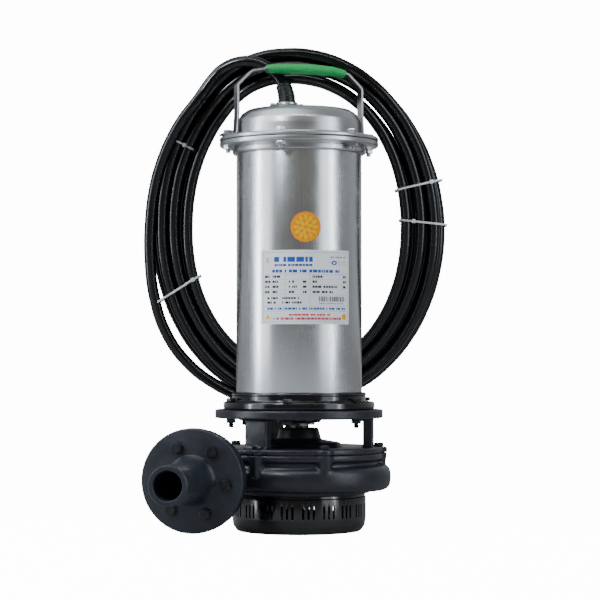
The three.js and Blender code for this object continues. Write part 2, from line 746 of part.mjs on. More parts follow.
// Two end turns joined by the bars that lie in the stator's slots.
function statorWinding() {
  const s = STATOR;
  const half = s.slotWidth / 2 - GAP;
  const bar = box(
    [-half, -s.slotOut + GAP, ROTOR.coreLow - 6],
    [half, -s.slotIn - GAP, ROTOR.coreHigh + 6],
  );
  const endTurn = (low, high) => turned([
    [57, low], [84, low], [84, high], [57, high],
  ], { closed: true, segments: 24 });
  return join(
    endTurn(262, ROTOR.coreLow - 2),
    endTurn(ROTOR.coreHigh + 2, 505),
    ringOf(s.slots, 0, (az) => atBearing(bar, az)),
  );
}

function rotorShaft() {
  const seat = ROTOR.seatR;
  return turned([
    [0, 70.5], [8, 70.5], [8, 84], [11, 84], [11, 110], [15, 110], [15, 214],
    [19.7, 214], [19.7, 238], [27, 238], [27, 289], [seat, 289], [seat, 482], [18, 482],
    [18, 548.7], [12.2, 548.7], [12.2, 564], [0, 564],
  ], { segments: 16 });
}

// Laminated core with its cast end rings.
function rotorCore() {
  const r = ROTOR;
  return turned([
    [r.seatR + GAP, r.coreLow - 10], [46, r.coreLow - 10], [48, r.coreLow],
    [r.coreR, r.coreLow], [r.coreR, r.coreHigh], [48, r.coreHigh], [46, r.coreHigh + 10],
    [r.seatR + GAP, r.coreHigh + 10],
  ], { closed: true, segments: 24 });
}

function ballBearing(innerR, outerR, low, high) {
  return turned([[innerR, low], [outerR, low], [outerR, high], [innerR, high]], {
    closed: true, segments: 20,
  });
}

function mechanicalSeal() {
  return turned([
    [15.4, 184.6], [24, 184.6], [24, 191], [20, 191], [20, 206.5], [15.4, 206.5],
  ], { closed: true, segments: 16 });
}

// One backward-curved vane as a bent strip.
function vane() {
  const steps = 6;
  const line = Array.from({ length: steps + 1 }, (_, i) => {
    const along = i / steps;
    const radius = THREE.MathUtils.lerp(36, 84, along);
    const angle = rad(-70 * along ** 0.9);
    return new THREE.Vector2(radius * Math.cos(angle), radius * Math.sin(angle));
  });
  const geometry = new THREE.ExtrudeGeometry(band(line, 5), { depth: 25, bevelEnabled: false });
  geometry.translate(0, 0, 76);
  return toManifold(geometry);
}

function impeller() {
  const disc = turned([
    [11.4, 84.3], [19, 84.3], [24, 98], [85, 101], [85, 105], [20, 105], [20, 109.5],
    [11.4, 109.5],
  ], { closed: true });
  const blade = vane();
  return join(disc, ringOf(5, 0, (az) => atBearing(blade, az)));
}

function impellerNut() {
  const nut = cylinder(13.8, 73, 83.7, { sides: 6 });
  return cut(nut, cylinder(8.5, 72, 85, { sides: 10 }));
}

// ---------------------------------------------------------------- assembly

addPart('strainer_bowl', strainerBowl(), blackGloss());
FOOT.postAz.forEach((az, i) => {
  addPart(`strainer_screw_${i + 1}`, atBearing(strainerScrew(), az), blackBolt());
});
addPart('volute_casing', voluteCasing(), blackCasting());
addPart('discharge_gasket', outletGasket(), blackRubber());
addPart('discharge_nozzle', outletNozzle(), blackCasting());
ringOf(6, OUTLET.boltFirst, outletBolt).forEach((bolt, i) => {
  addPart(`discharge_bolt_${i + 1}`, bolt, blackBolt());
});
addPart('lantern_bracket', lanternBracket(), blackCasting());
COVER_BOLTS.az.forEach((az, i) => {
  addPart(`cover_bolt_${i + 1}`, coverBolt(az), blackBolt());
});
addPart('lower_housing', lowerHousing(), blackGloss());
addPart('seal_cover', sealCover(), blackCasting());
SEAL_BOLT_AZ.forEach((az, i) => {
  addPart(`seal_bolt_${i + 1}`, sealBolt(az), brightBolt());
});
ringOf(6, MOTOR.boltFirst, motorBolt).forEach((bolt, i) => {
  addPart(`motor_bolt_${i + 1}`, bolt, blackBolt());
});
addPart('motor_tube', motorTube(), brushedTube());
addPart('upper_bracket', upperBracket(), satinSteel());
addPart('cap_gasket', capGasket(), blackRubber());
addPart('top_cap', topCap(), satinSteel());
ringOf(6, CAP.boltFirst, capBolt).forEach((bolt, i) => {
  addPart(`cap_bolt_${i + 1}`, bolt, brightBolt());
});
addPart('handle_strap', handleStrap(), satinSteel());
addPart('handle_grip', handleGrip(), greenRubber());
addPart('gland_plate', glandPlate(), satinSteel());
GLAND_SCREWS.forEach((spot, i) => {
  addPart(`gland_screw_${i + 1}`, glandScrew(spot), brightBolt());
});
addPart('gland_boot', glandBoot(), blackRubber());
const coil = cableCoil();
addPart('cable_lead', cableLead(coil), blackRubber());
addPart('cable_coil', coil, blackRubber());
addPart(
  'rating_label',
  curvedSheet(LABEL.az[0], LABEL.az[1], LABEL.low, LABEL.high, LABEL.thick),
  labelStock(),
);
addPart('round_sticker', roundSticker(), orangeFilm());
addPart('stator_core', statorCore(), machined());
addPart('stator_winding', statorWinding(), copper());
addPart('lower_bearing', ballBearing(20, 45, 214.3, 237.3), machined());
addPart('upper_bearing', ballBearing(12.5, 31, 549, 566), machined());
addPart('rotor_shaft', rotorShaft(), machined());
addPart('rotor_core', rotorCore(), machined());
addPart('mechanical_seal', mechanicalSeal(), machined());
addPart('impeller', impeller(), bronze());
addPart('impeller_nut', impellerNut(), brightBolt());

export default pump;
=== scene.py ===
"""Looks of a submersible dirty-water pump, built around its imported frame.

The frame is in metres: +Z up along the shaft, -Y the front with the rating label, +X to the right.
Lengths inside the classes are millimetres, and a piece is scaled to metres when it is finished.
Bearings round the shaft ("az") are degrees from the front towards +X.
"""

import json
import logging
import math
from dataclasses import dataclass, field
from enum import Enum
from typing import Callable, Iterable, Optional, Sequence

import bmesh
import bpy
from mathutils import Matrix, Vector

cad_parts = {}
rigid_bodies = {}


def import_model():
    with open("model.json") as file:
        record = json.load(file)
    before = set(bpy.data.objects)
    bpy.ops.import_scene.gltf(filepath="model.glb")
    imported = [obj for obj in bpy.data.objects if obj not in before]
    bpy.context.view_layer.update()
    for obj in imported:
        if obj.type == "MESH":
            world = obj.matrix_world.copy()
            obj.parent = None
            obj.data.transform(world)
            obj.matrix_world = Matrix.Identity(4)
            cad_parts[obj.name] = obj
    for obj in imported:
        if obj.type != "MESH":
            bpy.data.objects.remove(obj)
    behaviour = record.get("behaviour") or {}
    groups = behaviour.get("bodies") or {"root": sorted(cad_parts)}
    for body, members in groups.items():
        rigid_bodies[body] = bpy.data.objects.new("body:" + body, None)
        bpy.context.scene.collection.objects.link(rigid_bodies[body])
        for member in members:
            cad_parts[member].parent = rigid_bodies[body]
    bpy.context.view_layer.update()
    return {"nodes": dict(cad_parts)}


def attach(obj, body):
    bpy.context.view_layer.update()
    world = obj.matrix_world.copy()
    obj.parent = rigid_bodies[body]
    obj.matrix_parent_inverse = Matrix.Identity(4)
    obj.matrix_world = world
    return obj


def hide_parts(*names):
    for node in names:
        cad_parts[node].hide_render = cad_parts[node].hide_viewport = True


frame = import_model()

MM = 0.001
PUMP = "pump_body"
LOG = logging.getLogger("pump")
Corner = tuple[float, ...]
Colour = tuple[float, float, float]


# ------------------------------------------------------------------ shaping tools


def spot(az: float, radius: float, height: float = 0.0) -> Vector:
    """Point at a bearing and distance from the shaft.

    Args:
        az: Bearing in degrees from the front towards +X.
        radius: Distance from the shaft axis.
        height: Height over the foot.

    Returns:
        The point, in millimetres.
    """
    turn = math.radians(az)
    return Vector((radius * math.sin(turn), -radius * math.cos(turn), height))


def soften(corners: Sequence[Corner], closed: bool, steps: int = 3) -> list[tuple[float, float]]:
    """Rounds each corner that gives a third number, its fillet radius.

    Args:
        corners: Points (a, b) or (a, b, fillet).
        closed: Whether the line closes on itself.
        steps: Segments in each fillet.

    Returns:
        The rounded line.
    """
    line: list[tuple[float, float]] = []
    count = len(corners)
    for i, corner in enumerate(corners):
        here = Vector(corner[:2])
        fillet = corner[2] if len(corner) > 2 else 0.0
        if fillet <= 0 or (not closed and i in (0, count - 1)):
            line.append((here.x, here.y))
            continue
        before = Vector(corners[i - 1][:2]) - here
        after = Vector(corners[(i + 1) % count][:2]) - here
        half = before.angle(after) / 2
        reach = min(fillet / math.tan(half), before.length * 0.48, after.length * 0.48)
        radius = reach * math.tan(half)
        before.normalize()
        after.normalize()
        centre = here + (before + after).normalized() * radius / math.sin(half)
        start = here + before * reach - centre
        end = here + after * reach - centre
        for k in range(steps + 1):
            arm = start.lerp(end, k / steps).normalized() * radius
            line.append((centre.x + arm.x, centre.y + arm.y))
    return line


class Form:
    """A shape under the operators: a bmesh in millimetres that ends as a piece in metres."""

    def __init__(self) -> None:
        """Starts empty."""
        self.bm = bmesh.new()

    def turned(
        self, corners: Sequence[Corner], steps: int = 96, closed: bool = True, fine: int = 3
    ) -> "Form":
        """Spins a section (radius, height[, fillet]) about the shaft.

        Args:
            corners: Section corners.
            steps: Facets round.
            closed: Whether the section closes on itself, away from the axis.
            fine: Segments in each fillet.

        Returns:
            This form.
        """
        line = soften(corners, closed, fine)
        dots = [self.bm.verts.new((r, 0.0, z)) for r, z in line]
        pairs = list(zip(dots, dots[1:])) + ([(dots[-1], dots[0])] if closed else [])
        rails = [self.bm.edges.new(pair) for pair in pairs]
        bmesh.ops.spin(
            self.bm, geom=dots + rails, cent=(0, 0, 0), axis=(0, 0, 1), dvec=(0, 0, 0),
            angle=math.tau, steps=steps, use_merge=True, use_normal_flip=False,
            use_duplicate=False,
        )
        return self.close()

    def close(self) -> "Form":
        """Merges doubles and turns every shell's faces outwards."""
        bmesh.ops.remove_doubles(self.bm, verts=self.bm.verts, dist=1e-4)
        bmesh.ops.recalc_face_normals(self.bm, faces=self.bm.faces)
        return self

    def post(
        self, radius: float, low: float, high: float, at: tuple[float, float] = (0.0, 0.0),
        sides: int = 32, edge: float = 0.0, foot: Optional[float] = None, twist: float = 0.0,
    ) -> "Form":
        """Adds an upright prism.

        Args:
            radius: Radius at the top, corner to corner.
            low: Height of the bottom.
            high: Height of the top.
            at: Place of the axis.
            sides: Number of sides.
            edge: Bevel on both ends' edges.
            foot: Radius at the bottom, where it differs.
            twist: Turn about its own axis, in degrees.

        Returns:
            This form.
        """
        seat = Matrix.Translation((at[0], at[1], low)) @ Matrix.Rotation(
            math.radians(twist), 4, "Z"
        )
        made = bmesh.ops.create_circle(
            self.bm, cap_ends=True, radius=radius if foot is None else foot, segments=sides,
            matrix=seat,
        )
        face = made["verts"][0].link_faces[0]
        grown = bmesh.ops.extrude_face_region(self.bm, geom=[face])
        top = [g for g in grown["geom"] if isinstance(g, bmesh.types.BMVert)]
        lift = Matrix.Translation((at[0], at[1], high))
        ratio = 1.0 if foot is None else radius / foot
        bmesh.ops.transform(
            self.bm, verts=top,
            matrix=lift @ Matrix.Diagonal((ratio, ratio, 1, 1))
            @ Matrix.Translation((-at[0], -at[1], -low)),
        )
        if edge > 0:
            rims = set(face.edges)
            for vert in top:
                rims.update(e for e in vert.link_edges if e.other_vert(vert) in top)
            self.bevel(rims, edge)
        return self.close()

    def block(
        self, size: tuple[float, float, float], centre: Vector, turn: float = 0.0,
        edge: float = 0.0, segments: int = 2,
    ) -> "Form":
        """Adds a box turned about +Z.

        Args:
            size: Lengths along its own X, Y and Z.
            centre: Middle of the box.
            turn: Turn about +Z, in degrees.
            edge: Bevel on every edge.
            segments: Segments in the bevel.

        Returns:
            This form.
        """
        place = (
            Matrix.Translation(centre)
            @ Matrix.Rotation(math.radians(turn), 4, "Z")
            @ Matrix.Diagonal((*size, 1))
        )
        made = bmesh.ops.create_cube(self.bm, size=1.0, matrix=place)
        if edge > 0:
            edges = {e for v in made["verts"] for e in v.link_edges}
            self.bevel(edges, edge, segments)
        return self

    def swept(
        self, section: Sequence[tuple[float, float]], route: Sequence[tuple[Vector, Vector, Vector]]
    ) -> "Form":
        """Extrudes a closed section along a route.

        Args:
            section: Corners (a, b).
            route: Stations, each a middle point and the directions of a and b, scaled.

        Returns:
            This form.
        """
        rings = [[mid + a_way * a + b_way * b for a, b in section] for mid, a_way, b_way in route]
        start = [self.bm.verts.new(co) for co in rings[0]]
        cap = bmesh.ops.contextual_create(self.bm, geom=start)["faces"][0]
        for before, after in zip(rings, rings[1:]):
            grown = bmesh.ops.extrude_face_region(self.bm, geom=[cap])["geom"]
            cap = next(g for g in grown if isinstance(g, bmesh.types.BMFace))
            for vert in cap.verts:
                near = min(range(len(section)), key=lambda i: (vert.co - before[i]).length)
                vert.co = after[near]
        return self.close()

    def bevel(self, edges: Iterable, size: float, segments: int = 2) -> "Form":
        """Bevels some edges."""
        bmesh.ops.bevel(
            self.bm, geom=list(edges), offset=size, offset_type="OFFSET", segments=segments,
            profile=0.5, affect="EDGES", material=-1, clamp_overlap=True,
        )
        return self

    def moved(self, matrix: Matrix) -> "Form":
        """Moves everything made so far."""
        bmesh.ops.transform(self.bm, matrix=matrix, verts=self.bm.verts)
        if matrix.determinant() < 0:
            bmesh.ops.recalc_face_normals(self.bm, faces=self.bm.faces)
        return self

    def bent(self, rule: Callable[[Vector], Vector]) -> "Form":
        """Moves every vertex by a rule."""
        for vert in self.bm.verts:
            vert.co = rule(vert.co)
        return self

    def piece(self, name: str, sharp: float = 32.0) -> bpy.types.Object:
        """Ends the shape as an object in metres.

        Args:
            name: The piece's name.
            sharp: Edges over this angle, in degrees, stay sharp.

        Returns:
            The object, standing at the origin.
        """
        bmesh.ops.scale(self.bm, verts=self.bm.verts, vec=(MM, MM, MM))
        mesh = bpy.data.meshes.new(name)
        self.bm.to_mesh(mesh)
        self.bm.free()
        mesh.shade_smooth()
        mesh.set_sharp_from_angle(angle=math.radians(sharp))
        made = bpy.data.objects.new(name, mesh)
        bpy.context.scene.collection.objects.link(made)
        return made


def apply_modifiers(made: bpy.types.Object, sharp: float = 32.0) -> bpy.types.Object:
    """Applies a piece's modifiers to its mesh.

    Args:
        made: The piece.
        sharp: Edges over this angle, in degrees, stay sharp.

    Returns:
        The same piece without modifiers.
    """
    depsgraph = bpy.context.evaluated_depsgraph_get()
    mesh = bpy.data.meshes.new_from_object(made.evaluated_get(depsgraph))
    made.modifiers.clear()
    made.data = mesh
    mesh.shade_smooth()
    mesh.set_sharp_from_angle(angle=math.radians(sharp))
    return made


def as_cast(made: bpy.types.Object, voxel: float, relax: int = 6) -> bpy.types.Object:
    """Melts overlapping shells into one skin with the soft inner corners of a sand casting.

    Args:
        made: The piece, built of overlapping closed shells.
        voxel: Grid pitch in millimetres.
        relax: Smoothing passes.

    Returns:
        The same piece, fused.
    """
    melt = made.modifiers.new("melt", "REMESH")
    melt.mode = "VOXEL"
    melt.voxel_size = voxel * MM
    melt.use_smooth_shade = True
    soft = made.modifiers.new("soft", "SMOOTH")
    soft.factor = 0.5
    soft.iterations = relax
    return apply_modifiers(made, 60.0)


def drill(made: bpy.types.Object, tool: Form, sharp: float = 32.0) -> bpy.types.Object:
    """Cuts one form out of a piece.

    Args:
        made: The piece.
        tool: The form that is cut away.
        sharp: Edges over this angle, in degrees, stay sharp.

    Returns:
        The same piece, cut.
    """
    cutter = tool.piece(made.name + "_tool")
    cut = made.modifiers.new("cut", "BOOLEAN")
    cut.operation = "DIFFERENCE"
    cut.solver = "EXACT"
    cut.object = cutter
    apply_modifiers(made, sharp)
    bpy.data.objects.remove(cutter)
    return made


def settle(
    made: bpy.types.Object, finish: "Finish", nodes: Sequence[str], body: str = PUMP
) -> bpy.types.Object:
    """Dresses a piece, puts it on its body and lets it stand for its nodes.

    Args:
        made: The piece.
        finish: What it is made of.
        nodes: The frame's nodes it stands for.
        body: The body it rides on.

    Returns:
        The piece.
    """
    if made.data.materials:
        made.data.materials.clear()
    made.data.materials.append(finish.material())
    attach(made, body)
    if nodes:
        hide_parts(*nodes)
    return made


# ------------------------------------------------------------------ shader tools


class Wiring:
    """A node tree while it is being wired."""

    def __init__(self, tree: bpy.types.NodeTree) -> None:
        """Takes a tree and empties it."""
        self.tree = tree
        tree.nodes.clear()

    def add(self, kind: str, inputs: Optional[dict] = None, **settings: object) -> bpy.types.Node:
        """Adds a node.

        Args:
            kind: The node's type name.
            inputs: Values or sockets by input name or number.
            settings: The node's own options.

        Returns:
            The new node.
        """
        node = self.tree.nodes.new(kind)
        for key, value in settings.items():
            setattr(node, key, value)
        for key, value in (inputs or {}).items():
            if isinstance(value, bpy.types.NodeSocket):
                self.tree.links.new(value, node.inputs[key])
            else:
                node.inputs[key].default_value = value
        return node

    def maths(self, operation: str, *values: object, clamp: bool = False) -> bpy.types.NodeSocket:
        """Adds a Math node and gives its output."""
        node = self.add("ShaderNodeMath", dict(enumerate(values)), operation=operation)
        node.use_clamp = clamp
        return node.outputs[0]

    def spread(
        self, value: bpy.types.NodeSocket, low: float, high: float, to_low: object,
        to_high: object,
    ) -> bpy.types.NodeSocket:
        """Maps a value from one range to another, held at its ends."""
        return self.add("ShaderNodeMapRange", {
            "Value": value, "From Min": low, "From Max": high, "To Min": to_low,
            "To Max": to_high,
        }).outputs["Result"]

    def blend(self, factor: object, first: object, second: object) -> bpy.types.NodeSocket:
        """Mixes two colours."""
        return self.add("ShaderNodeMix", {0: factor, 6: first, 7: second}, data_type="RGBA").outputs[2]


class Effects:
    """Shader effects that several finishes share, each a node group that is built once."""

    @staticmethod
    def _group(name: str, ins: dict, outs: dict) -> Optional[tuple[Wiring, bpy.types.Node, bpy.types.Node]]:
        """Starts a group with named sockets.

        Args:
            name: The group's name.
            ins: Input names with their socket type and starting value.
            outs: Output names with their socket type.

        Returns:
            The wiring with its input and output nodes, or None if the group exists.
        """
        if name in bpy.data.node_groups:
            return None
        tree = bpy.data.node_groups.new(name, "ShaderNodeTree")
        for label, (kind, value) in ins.items():
            socket = tree.interface.new_socket(name=label, in_out="INPUT", socket_type=kind)
            if value is not None:
                socket.default_value = value
        for label, kind in outs.items():
            tree.interface.new_socket(name=label, in_out="OUTPUT", socket_type=kind)
        wiring = Wiring(tree)
        return wiring, wiring.add("NodeGroupInput"), wiring.add("NodeGroupOutput")

    @classmethod
    def mottle(cls) -> bpy.types.NodeTree:
        """Slow blotches between two values, for uneven gloss and shade.

        Returns:
            The group, with outputs Value and Mask.
        """
        made = cls._group("mottle", {
            "Vector": ("NodeSocketVector", None), "Scale": ("NodeSocketFloat", 20.0),
            "Low": ("NodeSocketFloat", 0.3), "High": ("NodeSocketFloat", 0.5),
        }, {"Value": "NodeSocketFloat", "Mask": "NodeSocketFloat"})
        if made:
            w, start, end = made
            noise = w.add("ShaderNodeTexNoise", {
                "Vector": start.outputs["Vector"], "Scale": start.outputs["Scale"],
                "Detail": 4.0, "Roughness": 0.6,
            })
            value = w.spread(
                noise.outputs["Fac"], 0.35, 0.65, start.outputs["Low"], start.outputs["High"]
            )
            w.tree.links.new(value, end.inputs["Value"])
            w.tree.links.new(w.spread(noise.outputs["Fac"], 0.35, 0.65, 0.0, 1.0), end.inputs["Mask"])
        return bpy.data.node_groups["mottle"]

    @classmethod
    def cast_grain(cls) -> bpy.types.NodeTree:
        """Orange-peel of paint over sand-cast iron, with small pits.

        Returns:
            The group, with outputs Height and Pits.
        """
        made = cls._group("cast_grain", {
            "Vector": ("NodeSocketVector", None), "Grain": ("NodeSocketFloat", 500.0),
            "Lumps": ("NodeSocketFloat", 60.0),
        }, {"Height": "NodeSocketFloat", "Pits": "NodeSocketFloat"})
        if made:
            w, start, end = made
            fine = w.add("ShaderNodeTexNoise", {
                "Vector": start.outputs["Vector"], "Scale": start.outputs["Grain"],
                "Detail": 3.0, "Roughness": 0.55,
            })
            lumps = w.add("ShaderNodeTexNoise", {
                "Vector": start.outputs["Vector"], "Scale": start.outputs["Lumps"],
                "Detail": 2.0, "Roughness": 0.5,
            })
            cells = w.add("ShaderNodeTexVoronoi", {
                "Vector": start.outputs["Vector"], "Scale": 210.0,
            })
            pits = w.spread(cells.outputs["Distance"], 0.0, 0.16, 1.0, 0.0)
            height = w.maths("ADD", fine.outputs["Fac"], w.maths("MULTIPLY", lumps.outputs["Fac"], 2.2))
            height = w.maths("SUBTRACT", height, w.maths("MULTIPLY", pits, 0.35))
            w.tree.links.new(height, end.inputs["Height"])
            w.tree.links.new(pits, end.inputs["Pits"])
        return bpy.data.node_groups["cast_grain"]

    @classmethod
    def edge_wear(cls) -> bpy.types.NodeTree:
        """Mask of corners where handling has polished or scuffed the finish.

        Returns:
            The group, with output Mask.
        """
        made = cls._group("edge_wear", {
            "Vector": ("NodeSocketVector", None), "Reach": ("NodeSocketFloat", 0.56),
        }, {"Mask": "NodeSocketFloat"})
        if made:
            w, start, end = made
            shape = w.add("ShaderNodeNewGeometry")
            noise = w.add("ShaderNodeTexNoise", {
                "Vector": start.outputs["Vector"], "Scale": 90.0, "Detail": 5.0,
            })
            sharp = w.add("ShaderNodeMapRange", {
                "Value": shape.outputs["Pointiness"], "From Min": 0.51,
                "From Max": start.outputs["Reach"],
            }).outputs["Result"]
            broken = w.spread(noise.outputs["Fac"], 0.42, 0.62, 0.0, 1.0)
            w.tree.links.new(w.maths("MULTIPLY", sharp, broken), end.inputs["Mask"])
        return bpy.data.node_groups["edge_wear"]

    @classmethod
    def brush_lines(cls) -> bpy.types.NodeTree:
        """Fine parallel scratches; the vector comes in already stretched along them.

        Returns:
            The group, with outputs Height and Shade.
        """
        made = cls._group("brush_lines", {
            "Vector": ("NodeSocketVector", None), "Scale": ("NodeSocketFloat", 1.0),
        }, {"Height": "NodeSocketFloat", "Shade": "NodeSocketFloat"})
        if made:
            w, start, end = made
            fine = w.add("ShaderNodeTexNoise", {
                "Vector": start.outputs["Vector"], "Scale": start.outputs["Scale"],
                "Detail": 6.0, "Roughness": 0.7,
            })
            w.tree.links.new(fine.outputs["Fac"], end.inputs["Height"])
            w.tree.links.new(w.spread(fine.outputs["Fac"], 0.3, 0.7, 0.0, 1.0), end.inputs["Shade"])
        return bpy.data.node_groups["brush_lines"]

    @classmethod
    def settled_dust(cls) -> bpy.types.NodeTree:
        """Mask of faint dust on faces that look up, broken by noise.

        Returns:
            The group, with output Mask.
        """
        made = cls._group("settled_dust", {
            "Vector": ("NodeSocketVector", None), "Amount": ("NodeSocketFloat", 0.3),
        }, {"Mask": "NodeSocketFloat"})
        if made:
            w, start, end = made
            shape = w.add("ShaderNodeNewGeometry")
            parts = w.add("ShaderNodeSeparateXYZ", {0: shape.outputs["Normal"]})
            noise = w.add("ShaderNodeTexNoise", {
                "Vector": start.outputs["Vector"], "Scale": 35.0, "Detail": 6.0,
            })
            up = w.spread(parts.outputs["Z"], 0.5, 1.0, 0.0, 1.0)
            patch = w.spread(noise.outputs["Fac"], 0.4, 0.7, 0.15, 1.0)
            mask = w.maths("MULTIPLY", w.maths("MULTIPLY", up, patch), start.outputs["Amount"])
            w.tree.links.new(mask, end.inputs["Mask"])
        return bpy.data.node_groups["settled_dust"]


class Grain(Enum):
    """Which way a metal's brushing runs: stretch factors for X, Y and Z."""

    UPRIGHT = (900.0, 900.0, 9.0)
    LEVEL = (14.0, 14.0, 900.0)
    ALL = (420.0, 420.0, 420.0)


@dataclass(frozen=True)
class Finish:
    """What a piece is made of. Each kind says how its own nodes are wired."""

    name: str
    slot: str

    def material(self) -> bpy.types.Material:
        """Gives the Blender material, making it the first time."""
        title = self.name + "_finish"
        found = bpy.data.materials.get(title)
        if found:
            return found
        made = bpy.data.materials.new(title)
        made.use_nodes = True
        wiring = Wiring(made.node_tree)
        out = wiring.add("ShaderNodeOutputMaterial")
        shader = wiring.add("ShaderNodeBsdfPrincipled")
        wiring.tree.links.new(shader.outputs["BSDF"], out.inputs["Surface"])
        place = wiring.add("ShaderNodeTexCoord").outputs["Object"]
        self.wire(wiring, shader, place)
        return made

    def wire(
        self, w: Wiring, shader: bpy.types.Node, place: bpy.types.NodeSocket
    ) -> None:
        """Wires the finish's own nodes.

        Args:
            w: The material's wiring.
            shader: Its Principled shader.
            place: Object coordinates.
        """
        raise NotImplementedError

    @staticmethod
    def effect(w: Wiring, tree: bpy.types.NodeTree, inputs: dict) -> bpy.types.Node:
        """Places a shared effect with this material's own values."""
        return w.add("ShaderNodeGroup", inputs, node_tree=tree)

    @staticmethod
    def relief(
        w: Wiring, shader: bpy.types.Node, height: bpy.types.NodeSocket, strength: float,
        deep: float,
    ) -> None:
        """Feeds a height through a Bump node into the shader's normal."""
        bump = w.add("ShaderNodeBump", {
            "Strength": strength, "Distance": deep, "Height": height,
        })
        w.tree.links.new(bump.outputs["Normal"], shader.inputs["Normal"])


@dataclass(frozen=True)
class PaintedCasting(Finish):
    """Black paint over cast iron: grain, uneven gloss, scuffed corners, a little dust."""

    colour: Colour
    scuff: Colour
    gloss: tuple[float, float]
    rough: float
    dust: float
    shine: float = 0.5

    def wire(self, w: Wiring, shader: bpy.types.Node, place: bpy.types.NodeSocket) -> None:
        """Wires paint, scuffs, dust and grain."""
        blotch = self.effect(w, Effects.mottle(), {
            "Vector": place, "Scale": 26.0, "Low": self.gloss[0], "High": self.gloss[1],
        })
        worn = self.effect(w, Effects.edge_wear(), {"Vector": place, "Reach": 0.6})
        dusty = self.effect(w, Effects.settled_dust(), {"Vector": place, "Amount": self.dust})
        grain = self.effect(w, Effects.cast_grain(), {
            "Vector": place, "Grain": 620.0, "Lumps": 75.0,
        })
        deeper = tuple(c * 0.72 for c in self.colour)
        base = w.blend(blotch.outputs["Mask"], (*deeper, 1), (*self.colour, 1))
        scuffed = w.blend(w.maths("MULTIPLY", worn.outputs["Mask"], 0.5), base, (*self.scuff, 1))
        top = w.blend(dusty.outputs["Mask"], scuffed, (0.07, 0.068, 0.064, 1))
        w.tree.links.new(top, shader.inputs["Base Color"])
        dull = w.maths("ADD", blotch.outputs["Value"], w.maths(
            "MULTIPLY", dusty.outputs["Mask"], 0.5,
        ), clamp=True)
        w.tree.links.new(dull, shader.inputs["Roughness"])
        shader.inputs["Specular IOR Level"].default_value = self.shine
        self.relief(w, shader, grain.outputs["Height"], self.rough, 0.00035)


@dataclass(frozen=True)
class Steel(Finish):
    """Brushed or machined metal with streaks, finger marks and uneven gloss."""

    colour: Colour
    gloss: tuple[float, float]
    grain: Grain
    depth: float
    streak: float = 0.10

    def wire(self, w: Wiring, shader: bpy.types.Node, place: bpy.types.NodeSocket) -> None:
        """Wires streaks, marks and brushing."""
        along = w.add("ShaderNodeMapping", {"Vector": place, "Scale": self.grain.value})
        lines = self.effect(w, Effects.brush_lines(), {
            "Vector": along.outputs["Vector"], "Scale": 1.0,
        })
        marks = self.effect(w, Effects.mottle(), {
            "Vector": place, "Scale": 11.0, "Low": self.gloss[0], "High": self.gloss[1],
        })
        dark = tuple(c * (1 - self.streak) for c in self.colour)
        base = w.blend(lines.outputs["Shade"], (*dark, 1), (*self.colour, 1))
        stain = w.maths("MULTIPLY", marks.outputs["Mask"], 0.22)
        base = w.blend(stain, base, tuple(c * 0.86 for c in self.colour) + (1,))
        w.tree.links.new(base, shader.inputs["Base Color"])
        shader.inputs["Metallic"].default_value = 1.0
        rough = w.maths("ADD", marks.outputs["Value"], w.maths(
            "MULTIPLY", lines.outputs["Shade"], 0.05,
        ))
        w.tree.links.new(rough, shader.inputs["Roughness"])
        self.relief(w, shader, lines.outputs["Height"], self.depth, 0.00012)


@dataclass(frozen=True)
class Rubber(Finish):
    """Moulded rubber or plastic with a fine skin and uneven gloss."""

    colour: Colour
    gloss: tuple[float, float]
    skin: float
    bump: float
    sheen: float = 0.0
    coat: float = 0.0

    def wire(self, w: Wiring, shader: bpy.types.Node, place: bpy.types.NodeSocket) -> None:
        """Wires colour drift, gloss and skin."""
        drift = self.effect(w, Effects.mottle(), {
            "Vector": place, "Scale": 30.0, "Low": self.gloss[0], "High": self.gloss[1],
        })
        skin = w.add("ShaderNodeTexNoise", {
            "Vector": place, "Scale": self.skin, "Detail": 3.0, "Roughness": 0.6,
        })
        paler = tuple(min(1.0, c * 1.35 + 0.0008) for c in self.colour)
        w.tree.links.new(
            w.blend(drift.outputs["Mask"], (*self.colour, 1), (*paler, 1)),
            shader.inputs["Base Color"],
        )
        w.tree.links.new(drift.outputs["Value"], shader.inputs["Roughness"])
        shader.inputs["Sheen Weight"].default_value = self.sheen
        shader.inputs["Coat Weight"].default_value = self.coat
        shader.inputs["Coat Roughness"].default_value = 0.12
        self.relief(w, shader, skin.outputs["Fac"], self.bump, 0.0003)


@dataclass(frozen=True)
class KnurledRubber(Finish):
    """Green grip rubber with rows of small raised dots that follow its own UV map, with painted shade in the hollows
    between the dots.
    """

    colour: Colour
    # shade: darker green, painted shade for the hollows between the raised dots.
    shade: Colour

    def wire(self, w: Wiring, shader: bpy.types.Node, place: bpy.types.NodeSocket) -> None:
        """Wires the dots and the painted shade in the hollows between them."""
        chart = w.add("ShaderNodeUVMap", uv_map="grip").outputs["UV"]
        cells = w.add("ShaderNodeTexVoronoi", {
            "Vector": chart, "Scale": 1.0, "Randomness": 0.12,
        })
        dots = w.spread(cells.outputs["Distance"], 0.18, 0.42, 1.0, 0.0)
        drift = self.effect(w, Effects.mottle(), {
            "Vector": place, "Scale": 40.0, "Low": 0.34, "High": 0.5,
        })
        # The darker colour between the dots is painted shade for the hollows.
        w.tree.links.new(
            w.blend(dots, (*self.shade, 1), (*self.colour, 1)), shader.inputs["Base Color"]
        )
        w.tree.links.new(drift.outputs["Value"], shader.inputs["Roughness"])
        self.relief(w, shader, dots, 0.8, 0.0006)


